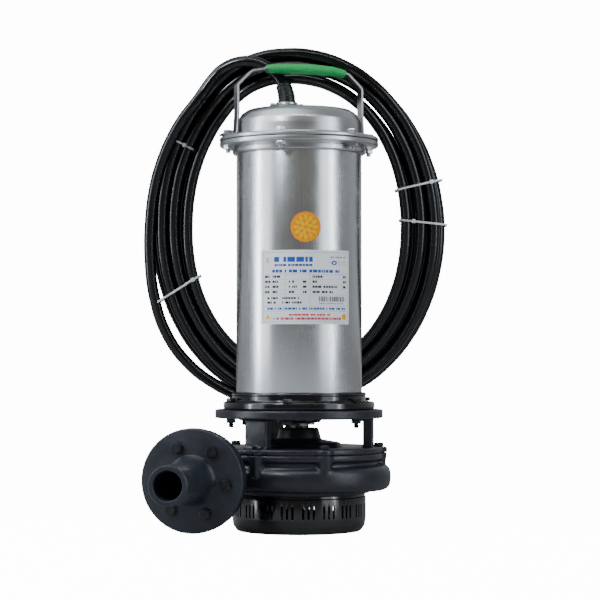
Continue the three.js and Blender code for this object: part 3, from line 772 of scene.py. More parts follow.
@dataclass(frozen=True)
class PrintedFilm(Finish):
    """Plastic label film: faint sheen, a trace of yellowing, soft waves under it."""

    colour: Colour
    gloss: tuple[float, float] = (0.24, 0.36)

    def wire(self, w: Wiring, shader: bpy.types.Node, place: bpy.types.NodeSocket) -> None:
        """Wires the film."""
        drift = self.effect(w, Effects.mottle(), {
            "Vector": place, "Scale": 16.0, "Low": self.gloss[0], "High": self.gloss[1],
        })
        warmer = (self.colour[0] * 0.97, self.colour[1] * 0.955, self.colour[2] * 0.92, 1)
        w.tree.links.new(
            w.blend(drift.outputs["Mask"], (*self.colour, 1), warmer), shader.inputs["Base Color"]
        )
        w.tree.links.new(drift.outputs["Value"], shader.inputs["Roughness"])
        shader.inputs["Specular IOR Level"].default_value = 0.18
        waves = w.add("ShaderNodeTexNoise", {"Vector": place, "Scale": 60.0, "Detail": 1.0})
        self.relief(w, shader, waves.outputs["Fac"], 0.12, 0.0004)


BLACK_CASTING = PaintedCasting(
    "black_casting", "black_casting", (0.0095, 0.0115, 0.0190), (0.045, 0.05, 0.064),
    (0.30, 0.42), 0.17, 0.10, 0.6,
)
# Paler copy of the black casting for the outlet nozzle and flange: the extra lightness is painted light for the
# light falling on its face.
LIT_OUTLET_CASTING = PaintedCasting(
    "outlet_casting", "black_casting", (0.0165, 0.0195, 0.0305), (0.08, 0.086, 0.105),
    (0.36, 0.5), 0.2, 0.08,
)
GLOSS_BLACK = PaintedCasting(
    "gloss_black", "gloss_black", (0.0040, 0.0044, 0.0062), (0.04, 0.044, 0.055),
    (0.11, 0.18), 0.045, 0.05, 0.8,
)
BLACK_BOLT = PaintedCasting(
    "black_bolt", "black_bolt", (0.006, 0.0065, 0.009), (0.03, 0.03, 0.034), (0.24, 0.36), 0.06, 0.05,
)
TUBE_STEEL = Steel(
    "tube_steel", "tube_steel", (0.80, 0.815, 0.83), (0.19, 0.26), Grain.UPRIGHT, 0.02,
)
SPUN_STEEL = Steel(
    "spun_steel", "satin_steel", (0.66, 0.67, 0.68), (0.25, 0.33), Grain.LEVEL, 0.02,
)
STRAP_STEEL = Steel(
    "strap_steel", "satin_steel", (0.58, 0.59, 0.60), (0.22, 0.34), Grain.LEVEL, 0.04,
)
BRIGHT_BOLT = Steel(
    "bright_bolt", "bright_bolt", (0.72, 0.725, 0.73), (0.2, 0.34), Grain.ALL, 0.2,
)
MACHINED = Steel(
    "machined_steel", "machined_steel", (0.5, 0.51, 0.52), (0.28, 0.4), Grain.LEVEL, 0.3,
)
# Machined steel darkened for the shaft and seal: partly real oil, partly painted shade for the dark gap under the
# motor.
SHADED_SHAFT_STEEL = Steel(
    "shaft_steel", "machined_steel", (0.13, 0.125, 0.12), (0.34, 0.48), Grain.LEVEL, 0.1,
)
COPPER = Steel(
    "copper_wire", "copper_wire", (0.62, 0.28, 0.13), (0.3, 0.42), Grain.LEVEL, 0.6, 0.3,
)
BRONZE = Steel("cast_bronze", "bronze", (0.56, 0.42, 0.2), (0.34, 0.5), Grain.ALL, 0.5, 0.2)
BLACK_RUBBER = Rubber(
    "black_rubber", "black_rubber", (0.005, 0.005, 0.0055), (0.3, 0.45), 420.0, 0.3,
)
CABLE_RUBBER = Rubber(
    "cable_rubber", "cable_rubber", (0.0012, 0.0012, 0.0016), (0.1, 0.17), 160.0, 0.03,
)
TIE_NYLON = Rubber("tie_nylon", "label_film", (0.74, 0.75, 0.77), (0.3, 0.42), 300.0, 0.1)
GREY_NYLON = Rubber("grey_nylon", "label_film", (0.22, 0.22, 0.235), (0.35, 0.45), 300.0, 0.1)
CORE_RED = Rubber("core_red", "cable_rubber", (0.42, 0.03, 0.03), (0.35, 0.45), 300.0, 0.1)
# The second colour is painted shade for the hollows between the grip's dots.
GREEN_GRIP = KnurledRubber(
    "green_grip", "green_rubber", (0.035, 0.64, 0.17), (0.008, 0.36, 0.08),
)
LABEL_FILM = PrintedFilm("label_film", "label_film", (0.90, 0.915, 0.94))
INK_BLACK = PrintedFilm("ink_black", "label_film", (0.055, 0.055, 0.065))
INK_GREY = PrintedFilm("ink_grey", "label_film", (0.36, 0.37, 0.41))
INK_BLUE = PrintedFilm("ink_blue", "label_film", (0.035, 0.11, 0.45))
INK_RED = PrintedFilm("ink_red", "label_film", (0.62, 0.06, 0.10))
INK_YELLOW = PrintedFilm("ink_yellow", "sticker_film", (0.92, 0.50, 0.01))
STICKER_FILM = PrintedFilm("sticker_film", "sticker_film", (0.90, 0.26, 0.003))


# ------------------------------------------------------------------ camera, light and floor


@dataclass
class Studio:
    """Pale floor, white surround, three soft boxes and the camera in front of the pump."""

    lens: float = 123.0
    eye: tuple[float, float, float] = (1.5, -3167.0, 269.6)
    tilt: float = 1.54

    def build(self) -> None:
        """Makes camera, world, lights and floor."""
        self._camera()
        self._world()
        self._soft_box("key_box", spot(-70, 1500, 850), (1050, 1900), 12.5, 10)
        self._soft_box("key_strip", spot(-77, 1380, 800), (45, 2000), 9.0, 10)
        self._soft_box("fill_box", spot(54, 1600, 620), (900, 1700), 9.0, 5)
        self._soft_box("fill_strip", spot(61, 1450, 620), (36, 1800), 4.5, 5)
        self._soft_box("top_box", Vector((-500, -300, 1900)), (1100, 900), 4.0, 0)
        self._soft_box("top_strip", Vector((-100, -1000, 1750)), (1800, 50), 8.0, 0)
        self._soft_box("sun_box", Vector((-1100, -1500, 1500)), (280, 280), 13.0, -200)
        self._floor()

    def _camera(self) -> None:
        """Aims a long lens level with the casing, tilted slightly up."""
        camera = bpy.data.cameras.new("front_camera")
        camera.lens = self.lens
        camera.sensor_width = 36.0
        camera.clip_end = 50.0
        stand = bpy.data.objects.new("front_camera", camera)
        stand.location = Vector(self.eye) * MM
        stand.rotation_euler = (math.radians(90 + self.tilt), 0.0, 0.0)
        bpy.context.scene.collection.objects.link(stand)
        bpy.context.scene.camera = stand

    @staticmethod
    def _world() -> None:
        """White behind the pump, and a dimmer room for it to reflect."""
        world = bpy.data.worlds.new("surround")
        bpy.context.scene.world = world
        world.use_nodes = True
        w = Wiring(world.node_tree)
        out = w.add("ShaderNodeOutputWorld")
        seen = w.add("ShaderNodeBackground", {"Color": (1.0, 1.0, 1.0, 1), "Strength": 14.0})
        split = w.add("ShaderNodeSeparateXYZ", {
            "Vector": w.add("ShaderNodeTexCoord").outputs["Generated"],
        })
        behind = w.spread(split.outputs["Y"], -0.2, 0.9, 0.13, 0.5)
        over = w.spread(split.outputs["Z"], 0.1, 1.0, 0.0, 0.12)
        tone = w.blend(
            w.spread(split.outputs["Y"], -1.0, 0.4, 0.0, 1.0), (1.0, 0.95, 0.86, 1),
            (0.90, 0.95, 1.0, 1),
        )
        room = w.add("ShaderNodeBackground", {
            "Color": tone, "Strength": w.maths("ADD", behind, over),
        })
        ray = w.add("ShaderNodeLightPath")
        both = w.add("ShaderNodeMixShader", {
            0: ray.outputs["Is Camera Ray"], 1: room.outputs[0], 2: seen.outputs[0],
        })
        w.tree.links.new(both.outputs[0], out.inputs["Surface"])

    @staticmethod
    def _soft_box(
        name: str, place: Vector, size: tuple[float, float], power: float, lift: float
    ) -> None:
        """Hangs a soft box that faces the pump's middle.

        Args:
            name: Its name.
            place: Its middle.
            size: Width and height.
            power: Watts.
            lift: How far over the pump's middle it aims.
        """
        lamp = bpy.data.lights.new(name, "AREA")
        lamp.shape = "RECTANGLE"
        lamp.size = size[0] * MM
        lamp.size_y = size[1] * MM
        lamp.energy = power
        lamp.color = (0.85, 0.93, 1.0)
        stand = bpy.data.objects.new(name, lamp)
        aim = Vector((0, 0, 350 + lift)) - place
        stand.location = place * MM
        stand.rotation_euler = aim.to_track_quat("-Z", "Y").to_euler()
        bpy.context.scene.collection.objects.link(stand)

    @staticmethod
    def _floor() -> None:
        """Lays the pale floor."""
        form = Form()
        form.block((9000, 9000, 20), Vector((0, 1200, -10.2)))
        floor = form.piece("floor")
        matt = bpy.data.materials.new("pale_floor")
        matt.use_nodes = True
        w = Wiring(matt.node_tree)
        out = w.add("ShaderNodeOutputMaterial")
        shader = w.add("ShaderNodeBsdfPrincipled", {"Roughness": 0.75})
        noise = w.add("ShaderNodeTexNoise", {
            "Vector": w.add("ShaderNodeTexCoord").outputs["Object"], "Scale": 3.0,
        })
        shade = w.blend(noise.outputs["Fac"], (0.42, 0.42, 0.425, 1), (0.46, 0.46, 0.46, 1))
        w.tree.links.new(shade, shader.inputs["Base Color"])
        shader.inputs["Emission Color"].default_value = (1.0, 1.0, 1.0, 1.0)
        ray = w.add("ShaderNodeLightPath")
        glow = w.maths("MULTIPLY", ray.outputs["Is Camera Ray"], 14.0)
        w.tree.links.new(glow, shader.inputs["Emission Strength"])
        w.tree.links.new(shader.outputs[0], out.inputs["Surface"])
        floor.data.materials.append(matt)


# ------------------------------------------------------------------ power cable


@dataclass
class PowerCable:
    """Ten metres of cable from the gland into a coil that leans behind the pump, with its ties.

    The coil's turns lie side by side in two rows. Each pass round moves on by one place, low down
    behind the motor.
    """

    radius: float = 9.0
    gland: tuple[float, float, float] = (-19.0, 10.0, 662.3)
    bend: float = 66.0
    heading: tuple[float, float] = (-0.98, 0.2)
    boot_turn: float = 27.0
    centre: tuple[float, float] = (-5.7, 468.6)
    half: tuple[float, float] = (203.0, 254.0)
    lean: tuple[float, float, float] = (690.0, 58.0, -0.16)
    first: float = -76.0
    last: float = -2334.0
    side_rows: tuple[tuple[float, float], ...] = (
        (26.5, -9.0), (9.0, -9.0), (-9.5, -9.0), (-31.0, -8.5),
        (-20.5, 8.0), (-1.0, 7.5), (17.0, 8.0), (30.0, 9.0),
    )
    top_rows: tuple[tuple[float, float], ...] = (
        (30.0, -12.0), (20.5, -9.0), (1.5, -9.0), (-17.5, -9.0),
        (-16.0, 9.0), (1.0, 9.0), (18.0, 9.0), (30.0, 9.0),
    )

    def arc(self, turn: float) -> Vector:
        """Point of the lead's bend over the gland.

        Args:
            turn: How far the cable has turned from upright, in degrees.

        Returns:
            The point on its centreline.
        """
        angle = math.radians(turn)
        out = self.bend * (1 - math.cos(angle))
        return Vector((
            self.gland[0] + self.heading[0] * out,
            self.gland[1] + self.heading[1] * out,
            self.gland[2] + self.bend * math.sin(angle),
        ))

    def coil(self, turn: float, out: float, back: float) -> Vector:
        """Point in the leaning oval coil.

        Args:
            turn: Angle from the top towards +X, in degrees.
            out: Distance outwards from the bundle's middle line.
            back: Distance behind it.

        Returns:
            The point on the cable's centreline.
        """
        across = math.sin(math.radians(turn))
        up = math.cos(math.radians(turn))
        normal = Vector((across * self.half[1], up * self.half[0])).normalized()
        height = self.centre[1] + up * self.half[1] + normal.y * out
        level, depth, slope = self.lean
        return Vector((
            self.centre[0] + across * self.half[0] + normal.x * out,
            depth + slope * (height - level) + back,
            height,
        ))

    def place(self, turn: float) -> tuple[float, float]:
        """Where in the bundle the cable lies after a total turn.

        Args:
            turn: Total angle wound, from the top towards +X, in degrees.

        Returns:
            Distances outwards and behind the bundle's middle line.
        """
        wound = (-180.0 - turn) / 360.0
        lap = math.floor(wound + 0.5)
        step = min(max((wound - lap) / 0.16 + 0.5, 0.0), 1.0)
        step = step * step * (3 - 2 * step)
        now, then = (min(max(i, 0), 7) for i in (lap, lap + 1))
        top = abs(math.cos(math.radians(turn))) ** 1.5 * (1 if math.cos(math.radians(turn)) > 0 else 0.35)
        spots = []
        for i in (now, then):
            side, crest = Vector(self.side_rows[i]), Vector(self.top_rows[i])
            spots.append(side.lerp(crest, top))
        here = spots[0].lerp(spots[1], step)
        wander = 0.8 * math.sin(math.radians(turn * 1.37)) + 0.5 * math.sin(math.radians(turn * 2.61))
        right = max(0.0, math.sin(math.radians(turn))) * (1 - top)
        crown = (turn + 204) % 360 - 180
        full = 5.0 * math.exp(-((crown / 15) ** 2))
        out = here.x + (7.0 + 0.12 * here.x) * right + full + wander
        return out, here.y + 0.8 * math.sin(math.radians(turn * 0.83))

    def route(self) -> list[Vector]:
        """The cable's centreline from the gland to its bare end.

        Returns:
            Points in millimetres.
        """
        points = [self.arc(t) for t in range(0, 136, 15)]
        ease = [
            (-43.0, 21.0, -26.0), (-51.0, 22.5, -23.0), (-59.0, 24.0, -18.0), (-67.0, 25.3, -13.5),
        ]
        points += [self.coil(*spot_) for spot_ in ease]
        turn = self.first
        while turn > self.last:
            out, back = self.place(turn)
            slack = math.exp(-(((turn + 128) / 26) ** 2))
            points.append(self.coil(turn, out + 17 * slack, back - 2 * slack))
            turn -= 12.0
        return points

    def build(self) -> None:
        """Makes the cable, its stripped end and the ties."""
        route = self.route()
        line = bpy.data.curves.new("power_cable", "CURVE")
        line.dimensions = "3D"
        line.bevel_depth = self.radius * MM
        line.bevel_resolution = 4
        line.resolution_u = 5
        line.use_fill_caps = True
        spline = line.splines.new("BEZIER")
        spline.bezier_points.add(len(route) - 1)
        for dot, point in zip(spline.bezier_points, route):
            dot.co = point * MM
            dot.handle_left_type = dot.handle_right_type = "AUTO"
        line.materials.append(CABLE_RUBBER.material())
        cable = bpy.data.objects.new("power_cable", line)
        bpy.context.scene.collection.objects.link(cable)
        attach(cable, PUMP)
        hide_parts("cable_lead", "cable_coil")
        ends = self._bare_end(route[-1], (route[-1] - route[-2]).normalized())
        ties = [
            self._tie("tie_right_high", 74.0, TIE_NYLON, 20.0),
            self._tie("tie_right_low", 87.5, TIE_NYLON, -16.0, skew=8.0),
            self._tie("tie_left", -112.0, TIE_NYLON, -30.0, reach=46.0, skew=-14.0),
            self._tie("tie_left_small", -59.0, GREY_NYLON, 6.0, 11.0, 10.8, (-5.5, -9.5)),
        ]

    @staticmethod
    def _centreline(route: Sequence[Vector]) -> list[Vector]:
        """Gives the route with points between its points, on a smooth line."""
        fine: list[Vector] = []
        for i in range(len(route) - 1):
            before, start = route[max(i - 1, 0)], route[i]
            end, after = route[i + 1], route[min(i + 2, len(route) - 1)]
            for k in range(6):
                t = k / 6
                fine.append(0.5 * (
                    2 * start + (end - before) * t
                    + (2 * before - 5 * start + 4 * end - after) * t * t
                    + (3 * start - before - 3 * end + after) * t ** 3
                ))
        return fine + [route[-1]]

    def _bare_end(self, tip: Vector, along: Vector) -> list[bpy.types.Object]:
        """Makes the four cores that stand out of the cut sheath.

        Args:
            tip: End of the sheath.
            along: The cable's direction there.

        Returns:
            The cores, each in its own colour.
        """
        cores = []
        turn = Vector((0, 0, 1)).rotation_difference(along).to_matrix().to_4x4()
        paints = (CORE_RED, BLACK_RUBBER, INK_YELLOW, TIE_NYLON)
        for i, paint in enumerate(paints):
            angle = math.radians(45 + 90 * i)
            at = (3.4 * math.cos(angle), 3.4 * math.sin(angle))
            form = Form()
            form.post(2.3, -6, 34 - 3 * i, at=at, sides=14, edge=0.3)
            form.post(1.4, 33 - 3 * i, 42 - 3 * i, at=at, sides=10, edge=0.4)
            form.moved(Matrix.Translation(tip) @ turn)
            core = form.piece(f"cable_core_{i + 1}")
            settle(core, paint, [])
            core.data.materials.append(COPPER.material())
            for face in core.data.polygons:
                offset = (face.center / MM - tip).dot(along)
                face.material_index = 1 if offset > 33.6 - 3 * i else 0
            cores.append(core)
        return cores

    def _tie(
        self, name: str, turn: float, finish: Finish, knot: float, reach: float = 40.0,
        deep: float = 20.5, middle: tuple[float, float] = (0.0, 0.0), skew: float = 0.0,
    ) -> bpy.types.Object:
        """Makes a nylon tie round the bundle, with its head and cut tail.

        Args:
            name: Its name.
            turn: Where on the coil, in degrees from the top.
            finish: Its plastic.
            knot: How far outwards on the front its head sits.
            reach: Half its width across the bundle.
            deep: Half its depth.
            middle: Its middle, outwards and backwards from the bundle's.
            skew: Its slant across the bundle, in degrees.

        Returns:
            The tie.
        """
        form = Form()
        slant = Matrix.Rotation(math.radians(skew), 4, "Y")
        outward = slant @ (self.coil(turn, 1, 0) - self.coil(turn, 0, 0)).normalized()
        ahead = slant @ (self.coil(turn + 1, 0, 0) - self.coil(turn - 1, 0, 0)).normalized()
        centre = self.coil(turn, *middle)
        loop = []
        for k in range(40):
            angle = math.tau * k / 40
            wide = math.copysign(abs(math.cos(angle)) ** 0.42, math.cos(angle)) * (reach - 1.2)
            back = math.copysign(abs(math.sin(angle)) ** 0.42, math.sin(angle)) * deep
            loop.append(centre + outward * wide + Vector((0, back, 0)))
        inner = [form.bm.verts.new(dot - ahead * 1.5) for dot in loop]
        rails = [form.bm.edges.new(p) for p in zip(inner, inner[1:] + inner[:1])]
        grown = bmesh.ops.extrude_edge_only(form.bm, edges=rails)
        side = [g for g in grown["geom"] if isinstance(g, bmesh.types.BMVert)]
        bmesh.ops.translate(form.bm, verts=side, vec=ahead * 3.0)
        bmesh.ops.recalc_face_normals(form.bm, faces=form.bm.faces)
        bmesh.ops.solidify(form.bm, geom=form.bm.faces[:], thickness=1.1)
        seat = centre + outward * knot + Vector((0, -deep - 1.6, 0))
        frame_ = Matrix((outward, ahead, Vector((0, 1, 0)))).transposed().to_4x4()
        head = Form()
        head.block((5.6, 6.2, 4.6), Vector((0, 0, 0)), edge=0.9)
        head.block((13, 3.0, 1.2), Vector((7.5, 0.4, -1.2)), edge=0.3)
        head.moved(Matrix.Translation(seat) @ frame_)
        bmesh.ops.recalc_face_normals(head.bm, faces=head.bm.faces)
        mesh = bpy.data.meshes.new("head")
        head.bm.to_mesh(mesh)
        head.bm.free()
        form.bm.from_mesh(mesh)
        bpy.data.meshes.remove(mesh)
        tie = form.piece(name, 40.0)
        return settle(tie, finish, [])


# ------------------------------------------------------------------ fasteners


@dataclass(frozen=True)
class HexBolt:
    """Hexagon bolt along +Z with its washer, threaded end and, where it shows, its nut."""

    shank: float
    across: float
    head: float
    seat: float
    end: float
    nut_top: Optional[float] = None
    nut: float = 6.5
    pitch: float = 1.25
    washer: float = 0.0

    def form(self, twist: float = 0.0) -> Form:
        """Builds the bolt.

        Args:
            twist: Turn of its flats, in degrees.

        Returns:
            The form, on the +Z axis.
        """
        corner = self.across / math.sqrt(3)
        form = Form()
        base = self.seat + 0.3
        if self.washer:
            form.turned([
                (self.shank, base), (self.washer, base, 0.4), (self.washer, base + 1.2, 0.4),
                (self.shank, base + 1.2),
            ], 24)
            base += 1.2
        top = self.seat + 0.3 + self.head
        form.post(corner, base, top, sides=6, edge=0.55, twist=twist)
        form.turned([(0, top - 1), (corner * 0.8, top - 1), (corner * 0.74, top + 0.25), (0, top + 0.25)], 24, False)
        low = self.end if self.nut_top is None else self.nut_top - self.nut
        form.post(self.shank, low, base, sides=20)
        if self.nut_top is not None:
            form.post(corner, self.nut_top - self.nut, self.nut_top, sides=6, edge=0.55, twist=twist + 17)
            teeth: list[Corner] = [(0, self.end), (self.shank - 0.9, self.end)]
            height = self.end + 0.5
            while height < low - 0.2:
                teeth += [(self.shank, height), (self.shank - 0.6, height + self.pitch * 0.5)]
                height += self.pitch
            teeth += [(self.shank - 0.6, low + 0.5), (0, low + 0.5)]
            form.turned(teeth, 18, False)
        return form


def around(form: Form, az: float, ring: float) -> Form:
    """Moves a form from the axis out to a bearing and a pitch radius."""
    turn = Matrix.Rotation(math.radians(az), 4, "Z")
    return form.moved(turn @ Matrix.Translation((0, -ring, 0)))


# ------------------------------------------------------------------ strainer foot


@dataclass
class StrainerFoot:
    """Pressed bowl under the casing with groups of three upright slots."""

    radius: float = 103.0
    height: float = 57.7
    wall: float = 4.0
    slot: tuple[float, float, float] = (3.5, 23.5, 43.5)
    groups: int = 20
    first: float = 8.0
    posts: tuple[float, ...] = (30.0, 150.0, 270.0)
    ring: float = 80.0

    def build(self) -> None:
        """Makes the bowl and dresses it and its three screws."""
        form = Form()
        inner = self.radius - self.wall
        form.turned([
            (0, 0), (self.radius - 8, 0, 5), (self.radius - 1.5, 9, 7), (self.radius, 22, 6),
            (self.radius, self.height - 5, 0.6), (self.radius - 1.4, self.height - 3.6, 0.5),
            (self.radius - 1.4, self.height, 0.5), (inner - 1.5, self.height),
            (inner, 22), (inner - 4, 10, 5), (inner - 9, 5, 4), (0, 5),
        ], 160, False)
        for az in self.posts:
            at = spot(az, self.ring)
            form.post(8, 4, self.height, at=(at.x, at.y), sides=28)
        bowl = form.piece("strainer_bowl_skin")
        drill(bowl, self._slots(), 28.0)
        settle(bowl, GLOSS_BLACK, ["strainer_bowl"])
        for i in range(3):
            dress(f"strainer_screw_{i + 1}", BLACK_BOLT)

    def _slots(self) -> Form:
        """Gives the slots and the screw bores as one cutting form."""
        tool = Form()
        width, low, high = self.slot
        for group in range(self.groups):
            for step in (-4.5, 0.0, 4.5):
                az = self.first + 18 * group + step
                middle = spot(az, self.radius - 1, (low + high) / 2)
                tool.block((width, 14, high - low), middle, az, 1.1, 2)
        for az in self.posts:
            at = spot(az, self.ring)
            tool.post(6.6, -2, 7, at=(at.x, at.y), sides=24)
            tool.post(3.4, 6, self.height + 2, at=(at.x, at.y), sides=20)
        return tool


def dress(node: str, finish: Finish) -> None:
    """Gives a node of the frame its material.

    Args:
        node: The node's name.
        finish: What it is made of.
    """
    made = frame["nodes"][node]
    if not made.material_slots:
        made.data.materials.append(None)
    for slot_ in made.material_slots:
        slot_.material = finish.material()


# ------------------------------------------------------------------ spiral casing and outlet


@dataclass
class OutletAxis:
    """Level line on which the water leaves the casing."""

    turn: float = 13.5
    offset: float = 116.4
    height: float = 85.0

    def matrix(self) -> Matrix:
        """Gives the placement of things made along +Z with +Y up."""
        angle = math.radians(self.turn)
        side = Vector((math.cos(angle), -math.sin(angle), 0))
        out = Vector((-math.sin(angle), -math.cos(angle), 0))
        place = Matrix((side, Vector((0, 0, 1)), out)).transposed().to_4x4()
        place.translation = side * -self.offset + Vector((0, 0, self.height))
        return place


@dataclass
class SpiralCasing:
    """Cast spiral round the impeller, with its neck, flange and bosses for the cover's bolts."""

    axis: OutletAxis = field(default_factory=OutletAxis)
    tongue: float = -32.0
    throat: float = 256.5
    core: float = 95.0
    start: float = 127.0
    gain: float = 35.0
    bosses: tuple[float, ...] = (18.0, 90.0, 162.0, 234.0, 329.0)

    def growth(self, az: float) -> float:
        """How far the spiral has opened at a bearing, from 0 to 1."""
        turn = (az - self.tongue) % 360
        run = self.throat - self.tongue
        return turn / run if turn <= run else 1 - (turn - run) / (360 - run)

    def _spiral(self, unit: Vector) -> Vector:
        """Maps the surface of a plain ring onto the opening spiral.

        Args:
            unit: Point on a ring of radius 2 with a section of radius 1.

        Returns:
            The point on the casing.
        """
        far = math.hypot(unit.x, unit.y)
        az = math.degrees(math.atan2(unit.x, -unit.y))
        grown = self.growth(az)
        outer = self.start + self.gain * grown
        low = 66 - 8 * grown ** 0.7
        high = 101 + 11 * grown ** 2

        def bulge(value: float) -> float:
            """Squares a circle's section up a little."""
            return math.copysign(abs(value) ** (2 / 3), value)

        radius = (outer + self.core) / 2 + bulge(far - 2) * (outer - self.core) / 2
        height = (high + low) / 2 + bulge(unit.z) * (high - low) / 2
        return Vector((unit.x / far * radius, unit.y / far * radius, height))

    def build(self) -> None:
        """Makes the casing."""
        form = Form()
        form.turned([
            (0, 58), (108, 58), (108, 64), (122, 70.5), (122, 108), (129, 111.2), (129, 119.9),
            (0, 119.9),
        ], 128, False)
        ring = Form()
        section = [
            (2 + math.cos(math.radians(a)), math.sin(math.radians(a))) for a in range(0, 360, 12)
        ]
        ring.turned(section, 120).bent(self._spiral)
        self._merge(form, ring)
        for az in self.bosses:
            at = spot(az, 123)
            form.post(13, 86, 119.9, at=(at.x, at.y), sides=28, foot=8)
        self._merge(form, self._duct(45, 27, 33, -20, 160).moved(self.axis.matrix()))
        flange = Form()
        flange.turned([(0, 157.4), (76, 157.4), (76, 172.8), (0, 172.8)], 120, False)
        self._merge(form, flange.moved(self.axis.matrix()))
        casing = as_cast(form.piece("casing_skin"), 2.1, 5)
        bore = self._duct(37, 19, 25, 40, 174).moved(self.axis.matrix())
        drill(casing, bore, 60.0)
        settle(casing, BLACK_CASTING, ["volute_casing"])

    @staticmethod
    def _merge(form: Form, other: Form) -> None:
        """Adds another form's shells to this one."""
        mesh = bpy.data.meshes.new("shell")
        other.bm.to_mesh(mesh)
        other.bm.free()
        form.bm.from_mesh(mesh)
        bpy.data.meshes.remove(mesh)

    @staticmethod
    def _duct(wide: float, tall: float, front: float, low: float, high: float) -> Form:
        """Makes a duct that changes from a flat oval to a circle.

        Args:
            wide: Half width at the back.
            tall: Half height at the back.
            front: Radius at the front.
            low: Back end on the outlet's axis.
            high: Front end.

        Returns:
            The closed form, along +Z.
        """
        form = Form()
        stations = [low + (high - low) * k / 14 for k in range(15)]
        form.turned([(0, low)] + [(1, z) for z in stations] + [(0, high)], 48, False)

        def shape(point: Vector) -> Vector:
            """Widens the unit tube."""
            along = min(max(((point.z + 20) / 179.4 - 0.05) / 0.75, 0.0), 1.0)
            along = along * along * (3 - 2 * along)
            return Vector((
                point.x * (wide + (front - wide) * along),
                point.y * (tall + (front - tall) * along), point.z,
            ))

        return form.bent(shape)


@dataclass
class DischargeOutlet:
    """Bolted-on flange with its plain nipple, gasket and six bolts."""

    axis: OutletAxis = field(default_factory=OutletAxis)
    ring: float = 53.0
    first: float = -6.0

    def build(self) -> None:
        """Makes gasket, nozzle and bolts."""
        place = self.axis.matrix()
        gasket = Form().turned([
            (25.5, 173.1), (75.4, 173.1, 0.3), (75.4, 175.1, 0.3), (25.5, 175.1),
        ], 96).moved(place).piece("outlet_gasket")
        settle(gasket, BLACK_RUBBER, ["discharge_gasket"])
        form = Form()
        form.turned([
            (21.3, 175.4), (77.5, 175.4, 1.6), (77.5, 190.4, 2.6), (37.5, 190.4, 4.5),
            (33.2, 195.5, 3), (30.4, 203, 6), (29.6, 216, 4), (29.6, 308.2, 1.0),
            (27.8, 310.4, 0.5), (22.6, 310.4, 0.5), (21.3, 309.0, 0.4),
        ], 128)
        # The nozzle takes the paler casting colour, painted light for its lit face.
        settle(form.moved(place).piece("outlet_nozzle"), LIT_OUTLET_CASTING, ["discharge_nozzle"])
        bolt = HexBolt(5.0, 16.0, 7.0, 190.4, 146.5, 157.1, 8.0, 1.5)
        for i in range(6):
            angle = math.radians(self.first + 60 * i)
            shift = Matrix.Translation((self.ring * math.cos(angle), self.ring * math.sin(angle), 0))
            piece = bolt.form(11.0 + 23 * i).moved(place @ shift).piece(f"outlet_bolt_{i + 1}")
            settle(piece, BLACK_BOLT, [f"discharge_bolt_{i + 1}"])


# ------------------------------------------------------------------ lantern bracket


@dataclass
class LanternBracket:
    """Casing cover and motor ring in one casting, joined by three flat legs."""

    legs: tuple[float, ...] = (-35.0, 85.0, 205.0)
    lugs: tuple[float, ...] = (18.0, 90.0, 162.0, 234.0, 329.0)

    def build(self) -> None:
        """Makes the casting and its cover bolts."""
        form = Form()
        form.turned([
            (16.5, 112.4), (115.7, 112.4), (115.7, 120.3), (129, 120.3), (129, 129),
            (68, 129), (63, 135.6), (34.5, 140), (30, 158), (16.5, 158),
        ], 120)
        for az in self.lugs:
            at = spot(az, 123)
            form.post(13, 120.3, 129, at=(at.x, at.y), sides=28)
        for az in self.legs:
            form.block((40, 15, 48), spot(az, 107, 152), az)
        form.turned([(79, 173.2), (129.3, 173.2), (129.3, 186.2), (79, 186.2)], 144)
        casting = as_cast(form.piece("bracket_skin"), 1.7, 3)
        settle(casting, BLACK_CASTING, ["lantern_bracket"])
        bolt = HexBolt(4.0, 13.0, 5.3, 129.0, 97.0)
        for i, az in enumerate(self.lugs):
            piece = around(bolt.form(9.0 * i), az, 123).piece(f"cover_bolt_{i + 1}_hex")
            settle(piece, BLACK_BOLT, [f"cover_bolt_{i + 1}"])


# ------------------------------------------------------------------ motor body


